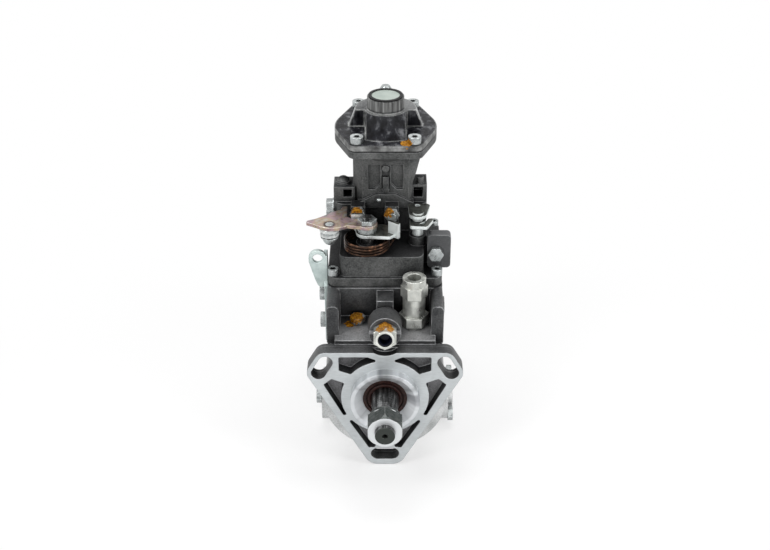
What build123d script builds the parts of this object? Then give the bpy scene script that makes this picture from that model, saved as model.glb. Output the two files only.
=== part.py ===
from build123d import *
import os
from math import atan2, copysign, cos, degrees, radians, sin

os.makedirs("parts", exist_ok=True)

# Distributor-type injection pump. Millimetres. The origin is the shaft axis at the machined
# face of the mounting flange, X to the right seen from the drive end, Y into the pump, Z up.

# Clearances
running_gap = 0.05
screw_gap = 0.05
loose_gap = 0.3

# Mounting flange and pilot
flange_thickness = 12
pilot_diameter = 50
pilot_height = 7
boss_ring_radius = 31.8
slot_pitch_radius = 52
slot_width = 10.5
slot_length = 21
lobe_wall = 3
foot_wall = 4.8
pocket_depth = 9

# Drive shaft, seal and bush
shaft_diameter = 20
shaft_taper = 0.2
taper_length = 19
thread_diameter = 14
shaft_tip_y = -45
seal_diameter = 32
seal_width = 8
seal_front_y = -1.5
pilot_mouth_radius = 22.3
bush_wall = 2.5
nut_flats = 24
nut_height = 12
collar_radius = 12.25
collar_height = 2.5

# Housing
bore_radius = 31.55
body_radius = 45
body_drop = 9
body_end_y = 100
housing_rear_y = 132
rear_pad = 80
deck_z = 42
chamber_width = 84
chamber_wall = 8
chamber_front_y = 44
chamber_inner_y = 50
chamber_rear_wall = 6
chamber_floor_z = 16
joint_z = 66
side_wall_front_y = 18
side_wall_thickness = 9

# Supply pump
supply_front_y = 25
supply_ring_width = 16
supply_ring_inner = 24
supply_offset = 2.5
supply_rotor_radius = 21
vane_count = 4
supply_cover_thickness = 5

# Governor gearing
gear_module = 1.5
drive_gear_teeth = 40
governor_gear_teeth = 30
gear_y = 51
gear_width = 6

# Governor
governor_shaft_radius = 4.5
weight_count = 4
weight_inner = 9.5
weight_outer = 16.8
weight_length = 13
weight_half_width = 6.5
weight_pin_radius = 1.1
weight_pivot_radius = 15.2
weight_pivot_y = 58.5
sleeve_radius = 5.7
sleeve_flange_radius = 8.5
sleeve_length = 23.4
lever_pivot_z = 24
lever_thickness = 2.5
lever_ball_radius = 2

# Cam drive
ring_y = 59
ring_width = 12
ring_inner = 15
roller_radius = 4.5
roller_count = 4
cam_thickness = 7
cam_radius = 29
plunger_radius = 5.5
bridge_half = 24
spring_spacing = 18
collar_y = 93
spill_collar_width = 8

# Timing device
timing_z = -43.5
timing_bore_radius = 11
barrel_wall = 5.5
barrel_taper = 14
timing_face_inset = 3
timing_pad_height = 28
piston_length = 36
piston_left_x = -24
timing_travel = 8
timing_cover_thickness = 7
timing_pin_radius = 3
timing_ball_radius = 4.4

# Distributor head
outlets = 4
head_flange_thickness = 14
head_spigot = 24
head_boss_radius = 33
head_boss_length = 20
head_pad_z = 40
outlet_radius = 21
outlet_height = 28
head_bolt_offset = 31
solenoid_radius = 12

# Governor cover
gasket_thickness = 0.6
cover_plate_thickness = 7
cover_inset = 0.3
cover_front_y = 45
cover_rear_y = 131
cover_deck_z = 90
cover_wall = 4
cover_left_inset = 9
cover_right_inset = 14
shoulder_z = 112
shoulder_left_inset = 5
shoulder_right_inset = 11
shoulder_depth = 42
neck_half = 24
neck_front = 23
neck_chamfer = 7
lug_top_z = 126
side_plug_y = 98
side_plug_z = 104

# Boost compensator
boost_x = 0.5
boost_y = 111
boost_radius = 37.5
boost_screw_x = 20.5
boost_screw_y = 33
boost_lug_radius = 6.5
boost_joint_z = 161
lower_rim_thickness = 5
upper_rim_thickness = 4.4
diaphragm_thickness = 0.6
dome_top_z = 179
collar_top_z = 188
cap_seat_radius = 13.5
rim_round = 1.3
nose_half = 14.5
plateau_radius = 22.5
nipple_y = 141
nipple_seat_z = 174
boost_chamber_radius = 30
boost_floor_z = 145
guide_pin_radius = 8

# Control levers
lever_x = -13
lever_y = 60
lever_shaft_radius = 5
control_plate_rise = 12.2
arm_spacer = 4
lever_sweep = 38
arm_eye_x = -40
arm_eye_y = 58
sheet = 2.5
coil_radius = 16
coil_wire = 1.1
coil_turns = 5
stop_screw_rise = 20
stop_lever_inset = 4
stop_lever_y = 70

# Regulating valve
valve_tilt = 8
valve_seat_y = 8.9
valve_seat_z = 49.8
valve_flats = 16
valve_boss_radius = 12.5
valve_boss_length = 17.5
valve_clearing_radius = 14.5
valve_bore_depth = 15

# Brackets
bracket_sheet = 2.5
bracket_drop = 31
bracket_rise = 2


def rod_y(radius, y_from, y_to, x=0, z=0):
    bar = Cylinder(radius, y_to - y_from, align=(Align.CENTER, Align.CENTER, Align.MIN))
    return Pos(x, y_from, z) * Rot(X=-90) * bar


def rod_x(radius, x_from, x_to, y=0, z=0):
    bar = Cylinder(radius, x_to - x_from, align=(Align.CENTER, Align.CENTER, Align.MIN))
    return Pos(x_from, y, z) * Rot(Y=90) * bar


def rod_z(radius, z_from, z_to, x=0, y=0):
    bar = Cylinder(radius, z_to - z_from, align=(Align.CENTER, Align.CENTER, Align.MIN))
    return Pos(x, y, z_from) * bar


def block(x_from, x_to, y_from, y_to, z_from, z_to):
    corner = (Align.MIN, Align.MIN, Align.MIN)
    return Pos(x_from, y_from, z_from) * Box(x_to - x_from, y_to - y_from, z_to - z_from, align=corner)


def plate_y(outline, y_from, y_to):
    """Extrude an outline drawn in X and Z from y_from to y_to."""
    return Pos(0, y_from, 0) * extrude(Plane.XZ * outline, amount=y_to - y_from, dir=(0, 1, 0))


def plate_z(outline, z_from, z_to):
    return Pos(0, 0, z_from) * extrude(outline, amount=z_to - z_from, dir=(0, 0, 1))


def plate_x(outline, x_from, x_to):
    """Extrude an outline drawn in Y and Z from x_from to x_to."""
    return Pos(x_from, 0, 0) * extrude(Plane.YZ * outline, amount=x_to - x_from, dir=(1, 0, 0))


def hexagon(across_flats, turn=0):
    return Rot(Z=turn) * RegularPolygon(across_flats / 2, 6, major_radius=False)


def outline_of(points):
    return Polygon(*points, align=None)


def rounded(outline, radius):
    return offset(offset(outline, -radius), radius)


def hull_of_circles(circles):
    """Convex outline round circles given as (x, y, radius)."""
    edges = []
    for x, y, radius in circles:
        edges += (Pos(x, y) * Circle(radius)).edges()
    return make_hull(edges)


def rounded_box_outline(width, height, radius, x=0, y=0):
    return Pos(x, y) * RectangleRounded(width, height, radius)


def cone_y(radius_from, radius_to, y_from, y_to):
    cone = Cone(radius_from, radius_to, y_to - y_from, align=(Align.CENTER, Align.CENTER, Align.MIN))
    return Pos(0, y_from, 0) * Rot(X=-90) * cone


def ring_of(shape, count, x=0, z=0, start=0):
    """Copies of a shape turned about the Y direction through (x, z)."""
    copies = []
    for index in range(count):
        turn = Pos(x, 0, z) * Rot(Y=start + index * 360 / count) * Pos(-x, 0, -z)
        copies.append(turn * shape)
    return copies


def coil(radius, wire, height, turns):
    path = Helix(pitch=height / turns, height=height, radius=radius)
    start = Plane(origin=path @ 0, z_dir=path % 0)
    return sweep(start * Circle(wire), path, is_frenet=True)


def gear(teeth, bore, y_from, width, x=0, z=0, turn=0):
    """Spur gear with straight-sided teeth, drawn as one tooth and repeated."""
    pitch_radius = gear_module * teeth / 2
    tip = pitch_radius + 0.8 * gear_module
    root = pitch_radius - gear_module
    tooth_angle = 360 / teeth
    points = []
    for index in range(teeth):
        for radius, share in ((root, -0.36), (tip, -0.13), (tip, 0.13), (root, 0.36)):
            angle = radians(turn + (index + share) * tooth_angle)
            points.append((x + radius * cos(angle), z + radius * sin(angle)))
    blank = outline_of(points) - Pos(x, z) * Circle(bore)
    return plate_y(blank, y_from, y_from + width)


def cap_screw(shank, length, head, head_height, socket):
    """Socket screw along +Z with its seat at z = 0 and its shank below."""
    screw = rod_z(shank, -length, 0) + rod_z(head, 0, head_height)
    return screw - plate_z(hexagon(socket), head_height / 2, head_height + 1)


def hex_bolt(shank, length, flats, head_height):
    """Hexagon bolt along +Z with its seat at z = 0 and its shank below."""
    return rod_z(shank, -length, 0) + plate_z(hexagon(flats), 0, head_height)


def save(name, shape):
    export_step(shape, "parts/" + name + ".step")


def save_group(name, shapes):
    save(name, Compound(children=list(shapes)))


def facing(x, y, z, direction):
    """Plane whose +Z runs along a direction, for parts drawn upright."""
    side = (0, 1, 0) if abs(direction[0]) > 0.9 else (1, 0, 0)
    return Plane(origin=(x, y, z), x_dir=side, z_dir=direction)


# Places worked out from the sizes above
shaft_radius = shaft_diameter / 2
seal_radius = seal_diameter / 2
pilot_radius = pilot_diameter / 2
slot_radius = slot_width / 2
slot_reach = slot_length / 2 - slot_radius
half_chamber = chamber_width / 2
inner_half = half_chamber - chamber_wall
seal_back_y = seal_front_y + seal_width
bush_radius = shaft_radius + bush_wall
supply_cover_y = supply_front_y + supply_ring_width
supply_back_y = supply_cover_y + supply_cover_thickness
gear_end_y = gear_y + gear_width
governor_z = gear_module * (drive_gear_teeth + governor_gear_teeth) / 2
ring_end_y = ring_y + ring_width
cam_y = ring_end_y + loose_gap
cam_end_y = cam_y + cam_thickness
bridge_y = cam_end_y + 2
bridge_end_y = bridge_y + 3
head_front_y = housing_rear_y - head_spigot
head_flange_end_y = housing_rear_y + head_flange_thickness
head_end_y = head_flange_end_y + head_boss_length
timing_y = ring_y + ring_width / 2
timing_face_x = body_radius - timing_face_inset
cover_width = chamber_width - 2 * cover_inset
cover_base_z = joint_z + gasket_thickness
cover_plate_z = cover_base_z + cover_plate_thickness
cover_left_x = cover_left_inset - half_chamber
cover_right_x = half_chamber - cover_right_inset
shoulder_left_x = shoulder_left_inset - half_chamber
shoulder_right_x = half_chamber - shoulder_right_inset
neck_rear_y = boost_y + neck_front
screw_inset = (chamber_wall + 0.4) / 2
screw_seats = [
    (sx * (half_chamber - screw_inset), y) for sx in (-1, 1) for y in (cover_front_y + 6, cover_rear_y - 6)
]
control_plate_z = cover_deck_z + control_plate_rise
throttle_arm_z = control_plate_z + sheet + arm_spacer
stop_screw_z = cover_deck_z + stop_screw_rise
stop_lever_x = cover_right_x - stop_lever_inset
rim_z = boost_joint_z - lower_rim_thickness
bracket_x = -half_chamber - bracket_sheet
boost_screws = [
    (boost_x + sx * boost_screw_x, boost_y + sy * boost_screw_y) for sx in (-1, 1) for sy in (-1, 1)
]
taper_start_y = seal_front_y - 5
taper_end_y = taper_start_y - taper_length
taper_end_radius = shaft_radius - taper_length * shaft_taper / 2
collar_front_y = taper_end_y - 1
nut_front_y = collar_front_y - collar_height - nut_height
valve_direction = (0, -cos(radians(valve_tilt)), sin(radians(valve_tilt)))
valve_plane = facing(0, valve_seat_y, valve_seat_z, valve_direction)
head_corners = [(sx * head_bolt_offset, sz * head_bolt_offset) for sx in (-1, 1) for sz in (-1, 1)]


# Housing: one light alloy casting with the flange, the pump barrel, the timing barrel across
# its foot and the open governor chamber on top.
def slot_ends(angle):
    x = slot_pitch_radius * cos(radians(angle))
    z = slot_pitch_radius * sin(radians(angle))
    dx = -slot_reach * sin(radians(angle))
    dz = slot_reach * cos(radians(angle))
    return [(x + dx, z + dz), (x - dx, z - dz)]


def flange_outline():
    circles = [(x, z, slot_radius + lobe_wall) for angle in (30, 150) for x, z in slot_ends(angle)]
    circles += [(x, z, slot_radius + foot_wall) for x, z in slot_ends(270)]
    return hull_of_circles(circles)


def flange_pockets():
    """Three cast pockets on the left side, between the ring and the edge of the flange."""
    top = [(-33, 35.2), (-12.5, 35.2), (-6, 32.5), (-18, 18), (-33, 23.5)]
    side = [(-44.3, 11.3), (-38.5, 16.4), (-24, 10.5), (-24, -17), (-30.5, -16)]
    low = [(-28, -18.5), (-18, -18), (-5, -38), (-7.5, -46), (-12, -46.5)]
    ring = Circle(boss_ring_radius)
    return [rounded(outline_of(points) - ring, 1.2) for points in (top, side, low)]


def slot_outline(angle):
    x = slot_pitch_radius * cos(radians(angle))
    z = slot_pitch_radius * sin(radians(angle))
    return Pos(x, z) * Rot(Z=angle + 90) * SlotOverall(slot_length, slot_width)


def housing_outside():
    body = plate_y(flange_outline(), 0, flange_thickness)
    body += rod_y(pilot_radius, -pilot_height, 1)
    body += rod_y(body_radius, flange_thickness - 2, body_end_y, z=-body_drop)
    body += rod_y(body_radius - 4, body_end_y - 1, housing_rear_y, z=-body_drop / 3)
    throat = inner_half + 2
    body += block(-throat, throat, flange_thickness - 1, housing_rear_y, -body_drop, deck_z)
    chamber = rounded_box_outline(
        chamber_width, housing_rear_y - chamber_front_y, 6, y=(housing_rear_y + chamber_front_y) / 2
    )
    body += plate_z(chamber, 10, joint_z)
    side = rounded_box_outline(
        side_wall_thickness, 44, 3.5, half_chamber - side_wall_thickness / 2, joint_z - 22
    )
    for mirror in (1, -1):
        wall = plate_y(side, side_wall_front_y, chamber_front_y + 8)
        body += wall if mirror == 1 else wall.mirror(Plane.YZ)
    rear = rounded_box_outline(rear_pad, rear_pad, 10)
    body += plate_y(rear, housing_rear_y - 14, housing_rear_y)
    barrel_radius = timing_bore_radius + barrel_wall
    barrel = rod_x(
        barrel_radius, barrel_taper - timing_face_x, timing_face_x - barrel_taper, y=timing_y, z=timing_z
    )
    for turn in (-90, 90):
        taper = Cone(
            barrel_radius, barrel_radius - 3, barrel_taper, align=(Align.CENTER, Align.CENTER, Align.MIN)
        )
        barrel += Pos(copysign(timing_face_x - barrel_taper, turn), timing_y, timing_z) * Rot(Y=turn) * taper
    pad = rounded_box_outline(2 * barrel_radius + 8, timing_pad_height, 8, timing_y, timing_z)
    body += barrel
    body += plate_x(pad, timing_face_x - 6, timing_face_x)
    body += plate_x(pad, -timing_face_x, 6 - timing_face_x)
    body += block(4 - timing_face_x, timing_face_x - 4, timing_y - 14, timing_y + 14, timing_z + 4, -20)
    body -= valve_plane * rod_z(valve_clearing_radius, 0, 40)
    body += valve_plane * Pos(0, 0, -valve_boss_length) * Cone(
        valve_boss_radius, valve_boss_radius - 1, valve_boss_length, align=(
            Align.CENTER, Align.CENTER, Align.MIN
        )
    )
    body += block(-6, 6, valve_seat_y + 20, chamber_front_y + 2, deck_z - 4, joint_z - 2)
    return body


def housing():
    body = housing_outside()
    pockets = flange_pockets()
    for pocket in pockets:
        cut = plate_y(pocket, -1, pocket_depth)
        body -= cut
        body -= cut.mirror(Plane.YZ)
    for angle in (30, 150, 270):
        body -= plate_y(slot_outline(angle), -1, flange_thickness + 14)
    body -= cone_y(pilot_mouth_radius + 1, seal_radius, -pilot_height - 1, seal_front_y)
    body -= rod_y(seal_radius, seal_front_y - 1, seal_back_y)
    body -= rod_y(bush_radius, seal_back_y - 1, supply_front_y + 1)
    body -= rod_y(bore_radius, supply_front_y, housing_rear_y + 1)
    chamber_end_y = housing_rear_y - chamber_rear_wall
    body -= block(-inner_half, inner_half, chamber_inner_y, chamber_end_y, chamber_floor_z, joint_z + 1)
    body -= rod_y(governor_shaft_radius, chamber_front_y, chamber_inner_y + 1, z=governor_z)
    body -= rod_x(timing_bore_radius, -timing_face_x - 1, timing_face_x + 1, y=timing_y, z=timing_z)
    window = timing_pin_radius + 1
    body -= block(-window, window + timing_travel, timing_y - window, timing_y + window, timing_z, -28)
    body -= valve_plane * rod_z(7 + screw_gap, -valve_bore_depth, 4)
    body -= rod_z(6 + screw_gap, deck_z - 9, deck_z + 1, x=inlet_x, y=inlet_y)
    body -= rod_z(3, 20, deck_z, x=inlet_x, y=inlet_y)
    body -= rod_z(3 + screw_gap, deck_z - 9, deck_z + 1, x=deck_bolt_x, y=deck_bolt_y)
    for x, y in screw_seats:
        body -= rod_z(2.5 + screw_gap, joint_z - 14, joint_z + 1, x=x, y=y)
    for x, z in head_corners:
        body -= rod_y(4 + screw_gap, housing_rear_y - 5.5, housing_rear_y + 1, x=x, z=z)
    for sx in (-1, 1):
        x_in, x_out = sorted((sx * (inner_half - 1), sx * (half_chamber + 1)))
        body -= rod_x(4 + screw_gap, x_in, x_out, y=lever_pivot_y, z=lever_pivot_z)
        for y, z in timing_screws(sx):
            x_in, x_out = sorted((sx * (timing_face_x - 10), sx * (timing_face_x + 1)))
            body -= rod_x(3 + screw_gap, x_in, x_out, y=y, z=z)
    for y, z in bracket_screws:
        body -= rod_x(3 + screw_gap, bracket_x, -half_chamber + 7, y=y, z=z)
    return body


return_z = 106
inlet_x = 21
inlet_y = 34
deck_bolt_x = -20
deck_bolt_y = 36
lever_pivot_y = 86.25
bracket_screws = [(58, 30), (58, 54)]


def timing_screws(side):
    """Places of the two cover screws on one end of the timing barrel, in Y and Z."""
    reach = timing_bore_radius + 4.5
    return [
        (timing_y - side * reach, timing_z - reach * 0.55),
        (timing_y + side * reach, timing_z + reach * 0.55)
    ]


save("pump_housing", housing())

# Shaft seal and bush
seal = rod_y(seal_radius, seal_front_y, seal_back_y) - rod_y(shaft_radius + running_gap, -5, 12)
seal -= rod_y(seal_radius - 2.5, seal_front_y - 1, seal_front_y + 1.5) - rod_y(shaft_radius + 2, -5, 12)
save("shaft_seal", seal)
bush = rod_y(bush_radius, seal_back_y, supply_front_y)
bush -= rod_y(shaft_radius + running_gap, seal_back_y - 1, supply_front_y + 1)
save("shaft_bush", bush)

# Drive shaft with its taper, threaded end and the claws that drive the cam plate
shaft = rod_y(shaft_radius, taper_start_y, supply_front_y)
shaft += cone_y(taper_end_radius, shaft_radius, taper_end_y, taper_start_y)
shaft += rod_y(thread_diameter / 2, shaft_tip_y, taper_end_y)
shaft += rod_y(shaft_radius - 1, supply_front_y - 1, gear_end_y)
shaft += rod_y(shaft_radius + 1, gear_end_y, ring_end_y - 6)
claw = block(-4, 4, ring_end_y - 7, ring_end_y, 6, shaft_radius + 1)
for claw_copy in ring_of(claw, 2):
    shaft += claw_copy
key_y = (taper_start_y + taper_end_y) / 2
key_half = 2
shaft -= block(-shaft_radius - 1, -shaft_radius + 4, key_y - 6, key_y + 6, -key_half, key_half)
shaft -= cone_y(2.4, 0.4, shaft_tip_y - 1, shaft_tip_y + 4)
save("drive_shaft", shaft)
key_shape = Pos(-shaft_radius + 6.5, key_y, 0) * Cylinder(5, 2 * key_half - 2 * screw_gap)
key_floor_x = -shaft_radius + 4 - screw_gap
key = key_shape & block(key_floor_x - 6 + 2 * screw_gap, key_floor_x, key_y - 5.8, key_y + 5.8, -3, 3)
nut = plate_y(hexagon(nut_flats, 90), nut_front_y, nut_front_y + nut_height)
nut &= cone_y(nut_flats * 0.5 + 0.3, nut_flats, nut_front_y, nut_front_y + nut_flats)
nut += rod_y(collar_radius, nut_front_y + nut_height, collar_front_y)
nut -= rod_y(thread_diameter / 2 + screw_gap, nut_front_y - 1, collar_front_y + 1)
save_group("shaft_nut_and_key", [nut, key])

# Supply pump
supply_ring = rod_y(bore_radius - screw_gap, supply_front_y, supply_cover_y)
supply_ring -= rod_y(supply_ring_inner, supply_front_y - 1, supply_cover_y + 1, x=supply_offset)
save("supply_pump_ring", supply_ring)
rotor = rod_y(supply_rotor_radius, supply_front_y + loose_gap, supply_cover_y - loose_gap)
rotor -= rod_y(shaft_radius - 1, supply_front_y - 1, supply_cover_y + 1)
vane_slot = block(
    -1.2, 1.2, supply_front_y - 1, supply_cover_y + 1, supply_rotor_radius - 9, supply_rotor_radius + 1
)
for slot_copy in ring_of(vane_slot, vane_count):
    rotor -= slot_copy
vane_front_y = supply_front_y + 0.4
vane = block(
    -1.15, 1.15, vane_front_y, supply_cover_y - 0.4, supply_rotor_radius - 8.6, supply_rotor_radius - 0.1
)
save_group("supply_pump_rotor", [rotor] + ring_of(vane, vane_count))
supply_cover = rod_y(bore_radius - screw_gap, supply_cover_y, supply_back_y)
supply_cover -= rod_y(shaft_radius + loose_gap, supply_cover_y - 1, supply_back_y + 1)
save("supply_pump_cover", supply_cover)

# Governor gears, cage, weights and sleeve
save("governor_drive_gear", gear(drive_gear_teeth, shaft_radius - 1, gear_y, gear_width, turn=90))
half_tooth = 180 / governor_gear_teeth
cage = gear(
    governor_gear_teeth, governor_shaft_radius + running_gap, gear_y, gear_width,
    z=governor_z, turn=270 + half_tooth,
)
post = block(-2.2, 2.2, gear_end_y - 0.5, gear_end_y + weight_length, governor_z + 12, governor_z + 18.5)
for post_copy in ring_of(post, weight_count, z=governor_z, start=45):
    cage += post_copy
save("governor_gear", cage)
weight_y = gear_end_y + 2
weight = block(
    -weight_half_width, weight_half_width, weight_y, weight_y + weight_length,
    governor_z + weight_inner, governor_z + weight_outer,
)
weight -= rod_y(weight_inner + 1, weight_y + 3, weight_y + weight_length + 1, z=governor_z)
toe = block(-2.5, 2.5, weight_y - 0.8, weight_y + 2, governor_z + 6, governor_z + weight_inner + 2)
weight += toe
weight += rod_x(weight_pin_radius, -5, 5, y=weight_pivot_y, z=governor_z + weight_pivot_radius)
for number, weight_copy in enumerate(ring_of(weight, weight_count, z=governor_z)):
    save("flyweight_" + str(number + 1), weight_copy)
governor_stud = rod_y(governor_shaft_radius, chamber_front_y, lever_pivot_y - 6, z=governor_z)
save("governor_shaft", governor_stud)
sleeve_y = weight_y + 2 + loose_gap
sleeve_end_y = sleeve_y + sleeve_length
sleeve = rod_y(sleeve_radius, sleeve_y, sleeve_end_y - 3, z=governor_z)
sleeve += Pos(0, 0, governor_z) * cone_y(sleeve_radius, 2.5, sleeve_end_y - 3, sleeve_end_y)
sleeve += rod_y(sleeve_flange_radius, sleeve_y, sleeve_y + 2, z=governor_z)
sleeve -= rod_y(governor_shaft_radius + running_gap, sleeve_y - 1, sleeve_end_y - 4, z=governor_z)
save("governor_sleeve", sleeve)

# Governor lever on its two pivot screws, with a ball that moves the spill collar
lever_front_y = lever_pivot_y - lever_thickness / 2
arm_top_z = governor_z + 27.5
arm_points = [
    (8, lever_pivot_z), (8, governor_z + 8), (4, arm_top_z), (-4, arm_top_z), (-8, governor_z + 8),
    (-8, lever_pivot_z)
]
upper_arm = plate_y(rounded(outline_of(arm_points), 2), lever_front_y, lever_front_y + lever_thickness)
ball_y = collar_y + spill_collar_width / 2
ball_z = 10
lower_points = [
    (lever_front_y, 26), (lever_front_y + 3, 27), (ball_y + 1.2, ball_z + 1), (ball_y - 1.4, ball_z)
]
lower_arm = plate_x(outline_of(lower_points), -2.5, 2.5)
lever = upper_arm + lower_arm + rod_x(4, -7.5, 7.5, y=lever_pivot_y, z=lever_pivot_z)
lever += Pos(0, ball_y, ball_z) * Sphere(lever_ball_radius)
lever -= rod_x(2 + running_gap, -9, 9, y=lever_pivot_y, z=lever_pivot_z)
save("governor_lever", lever)
pivots = []
for sx in (-1, 1):
    tip_in, tip_out = sorted((sx * 1.5, sx * 9))
    stem_in, stem_out = sorted((sx * 8, sx * half_chamber))
    head_in, head_out = sorted((sx * half_chamber, sx * (half_chamber + 4)))
    pivot = rod_x(2, tip_in, tip_out, y=lever_pivot_y, z=lever_pivot_z)
    pivot += rod_x(4, stem_in, stem_out, y=lever_pivot_y, z=lever_pivot_z)
    pivot += plate_x(Pos(lever_pivot_y, lever_pivot_z) * hexagon(13), head_in, head_out)
    pivots.append(pivot)
save_group("lever_pivot_screws", pivots)

# Spill collar on the plunger
spill = rod_y(9.5, collar_y, collar_y + spill_collar_width)
spill -= rod_y(plunger_radius + running_gap, collar_y - 1, collar_y + spill_collar_width + 1)
groove = lever_ball_radius + loose_gap
spill -= block(-11, 11, ball_y - groove, ball_y + groove, 7, 11)
save("spill_collar", spill)

# Roller ring with its rollers and the timing pin below it
roller_ring = rod_y(bore_radius - running_gap, ring_y, ring_end_y)
roller_ring -= rod_y(ring_inner, ring_y - 1, ring_end_y + 1)
roller_x = (ring_inner + cam_radius) / 2
roller_seat = block(roller_x - 4.6, roller_x + 4.6, ring_end_y - 9.4, ring_end_y + 1, -5, 5)
for seat_copy in ring_of(roller_seat, roller_count, start=45):
    roller_ring -= seat_copy
roller_ring -= rod_z(timing_pin_radius, -bore_radius - 1, -bore_radius + 9, y=timing_y)
save("roller_ring", roller_ring)
roller = rod_x(roller_radius, roller_x - 4.2, roller_x + 4.2, y=ring_end_y - roller_radius)
timing_pin = rod_z(timing_pin_radius, timing_z, -bore_radius + 9, y=timing_y)
timing_pin += Pos(0, timing_y, timing_z) * Sphere(timing_ball_radius)
save_group("rollers_and_timing_pin", ring_of(roller, roller_count, start=45) + [timing_pin])

# Cam plate and distributor plunger
cam = rod_y(cam_radius, cam_y, cam_end_y) - rod_y(plunger_radius, cam_y - 1, cam_end_y + 1)
cam += rod_y(9, cam_end_y - 1, bridge_y - loose_gap) - rod_y(plunger_radius, cam_y - 1, cam_end_y + 3)
save("cam_plate", cam)
plunger = rod_y(plunger_radius, cam_y, head_front_y + 34)
plunger -= rod_y(1.2, head_front_y - 14, head_front_y + 40)
save("distributor_plunger", plunger)
bridge = plate_y(
    rounded_box_outline(2 * bridge_half, 13, 5) - Circle(plunger_radius + running_gap),
    bridge_y, bridge_end_y,
)
plunger_gap = head_front_y - bridge_end_y
plunger_coil = facing(spring_spacing, bridge_end_y + 0.9, 0, (0, 1, 0)) * coil(
    5, 0.9, plunger_gap - 1.8, 5
)
save_group("plunger_springs", [bridge, plunger_coil, plunger_coil.mirror(Plane.YZ)])

# Timing device
piston = rod_x(
    timing_bore_radius - running_gap, piston_left_x, piston_left_x + piston_length, y=timing_y,
    z=timing_z
)
piston -= rod_z(timing_ball_radius + 0.1, timing_z - 6, timing_z + 1, y=timing_y)
mouth = Cone(timing_ball_radius + 0.1, 6.2, 13, align=(Align.CENTER, Align.CENTER, Align.MIN))
piston -= Pos(0, timing_y, timing_z) * mouth
piston -= rod_x(
    8, piston_left_x + piston_length - 5, piston_left_x + piston_length + 1, y=timing_y, z=timing_z
)
save("timing_piston", piston)
timing_pad = rounded_box_outline(
    2 * (timing_bore_radius + barrel_wall) + 8, timing_pad_height, 8, timing_y, timing_z
)


def timing_cover(side):
    x_in, x_out = sorted((side * timing_face_x, side * (timing_face_x + timing_cover_thickness)))
    cover = plate_x(timing_pad, x_in, x_out)
    if side < 0:
        cover += rod_x(8, -timing_face_x - 1, piston_left_x - loose_gap, y=timing_y, z=timing_z)
    else:
        cover += rod_x(11, timing_face_x + 5, timing_face_x + 11, y=timing_y, z=timing_z)
        cover -= rod_x(8, timing_face_x - 1, timing_face_x + 8, y=timing_y, z=timing_z)
    groove_in, groove_out = sorted((side * (timing_face_x - 1), side * (timing_face_x + 1.6)))
    seal_track = rod_x(timing_bore_radius + 2.2, groove_in, groove_out, y=timing_y, z=timing_z)
    seal_track -= rod_x(timing_bore_radius + 0.3, groove_in - 1, groove_out + 1, y=timing_y, z=timing_z)
    cover -= seal_track
    for y, z in timing_screws(side):
        cover -= rod_x(3 + screw_gap, x_in - 1, x_out + 1, y=y, z=z)
    return cover


save_group("timing_covers", [timing_cover(-1), timing_cover(1)])
cover_rings = []
hex_bolts = []
for side in (-1, 1):
    x_in, x_out = sorted((side * (timing_face_x + 0.1), side * (timing_face_x + 1.5)))
    ring = rod_x(timing_bore_radius + 2.1, x_in, x_out, y=timing_y, z=timing_z)
    ring -= rod_x(timing_bore_radius + 0.4, x_in - 1, x_out + 1, y=timing_y, z=timing_z)
    cover_rings.append(ring)
    for y, z in timing_screws(side):
        seat = facing(side * (timing_face_x + timing_cover_thickness), y, z, (side, 0, 0))
        hex_bolts.append(seat * hex_bolt(3, timing_cover_thickness + 9, 10, 4))
spring_from = piston_left_x + piston_length - 5 + 1
timing_coil = facing(spring_from, timing_y, timing_z, (1, 0, 0)) * coil(
    6.4, 0.9, timing_face_x + 7 - spring_from, 7
)
save("timing_spring", timing_coil)


# Distributor head
def distributor_head():
    head = plate_y(rounded_box_outline(rear_pad - 2, rear_pad - 2, 12), housing_rear_y, head_flange_end_y)
    head += rod_y(bore_radius - screw_gap, head_front_y, housing_rear_y + 1)
    head += rod_y(head_boss_radius, head_flange_end_y - 1, head_end_y)
    head += block(-14, 14, housing_rear_y + 4, head_end_y, 20, head_pad_z)
    head -= rod_y(plunger_radius + running_gap, head_front_y - 1, head_end_y - 14)
    for x, z in outlet_places():
        head -= rod_y(6 + screw_gap, head_end_y - 9, head_end_y + 1, x=x, z=z)
    head -= rod_y(8 + screw_gap, head_end_y - 8, head_end_y + 1)
    head -= rod_z(7 + screw_gap, head_pad_z - 13, head_pad_z + 1, y=solenoid_y)
    for x, z in head_corners:
        head -= rod_y(4 + screw_gap, housing_rear_y - 1, head_flange_end_y + 1, x=x, z=z)
    head -= block(
        -bore_radius - 1, bore_radius + 1, head_front_y - 1, housing_rear_y - 7, 23.5, bore_radius + 1
    )
    return head


def outlet_places():
    angles = [radians(45 + index * 360 / outlets) for index in range(outlets)]
    return [(outlet_radius * cos(angle), outlet_radius * sin(angle)) for angle in angles]


solenoid_y = head_flange_end_y + 7
save("distributor_head", distributor_head())
head_bolts = [facing(x, head_flange_end_y, z, (0, 1, 0)) * hex_bolt(4, 19, 13, 6) for x, z in head_corners]
save_group("head_bolts", head_bolts)
holders = []
for x, z in outlet_places():
    holder = rod_z(6, -9, 0) + plate_z(hexagon(17), 0, 11) + rod_z(6, 10, outlet_height)
    holder -= rod_z(2.5, -10, outlet_height + 1)
    holder -= Pos(0, 0, outlet_height - 4) * Cone(
        2.5, 4.5, 4.2, align=(Align.CENTER, Align.CENTER, Align.MIN)
    )
    holders.append(facing(x, head_end_y, z, (0, 1, 0)) * holder)
plug = rod_z(8, -8, 0) + plate_z(hexagon(19), 0, 6) + rod_z(5, 6, 9)
save_group("head_fittings", holders + [facing(0, head_end_y, 0, (0, 1, 0)) * plug])

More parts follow.
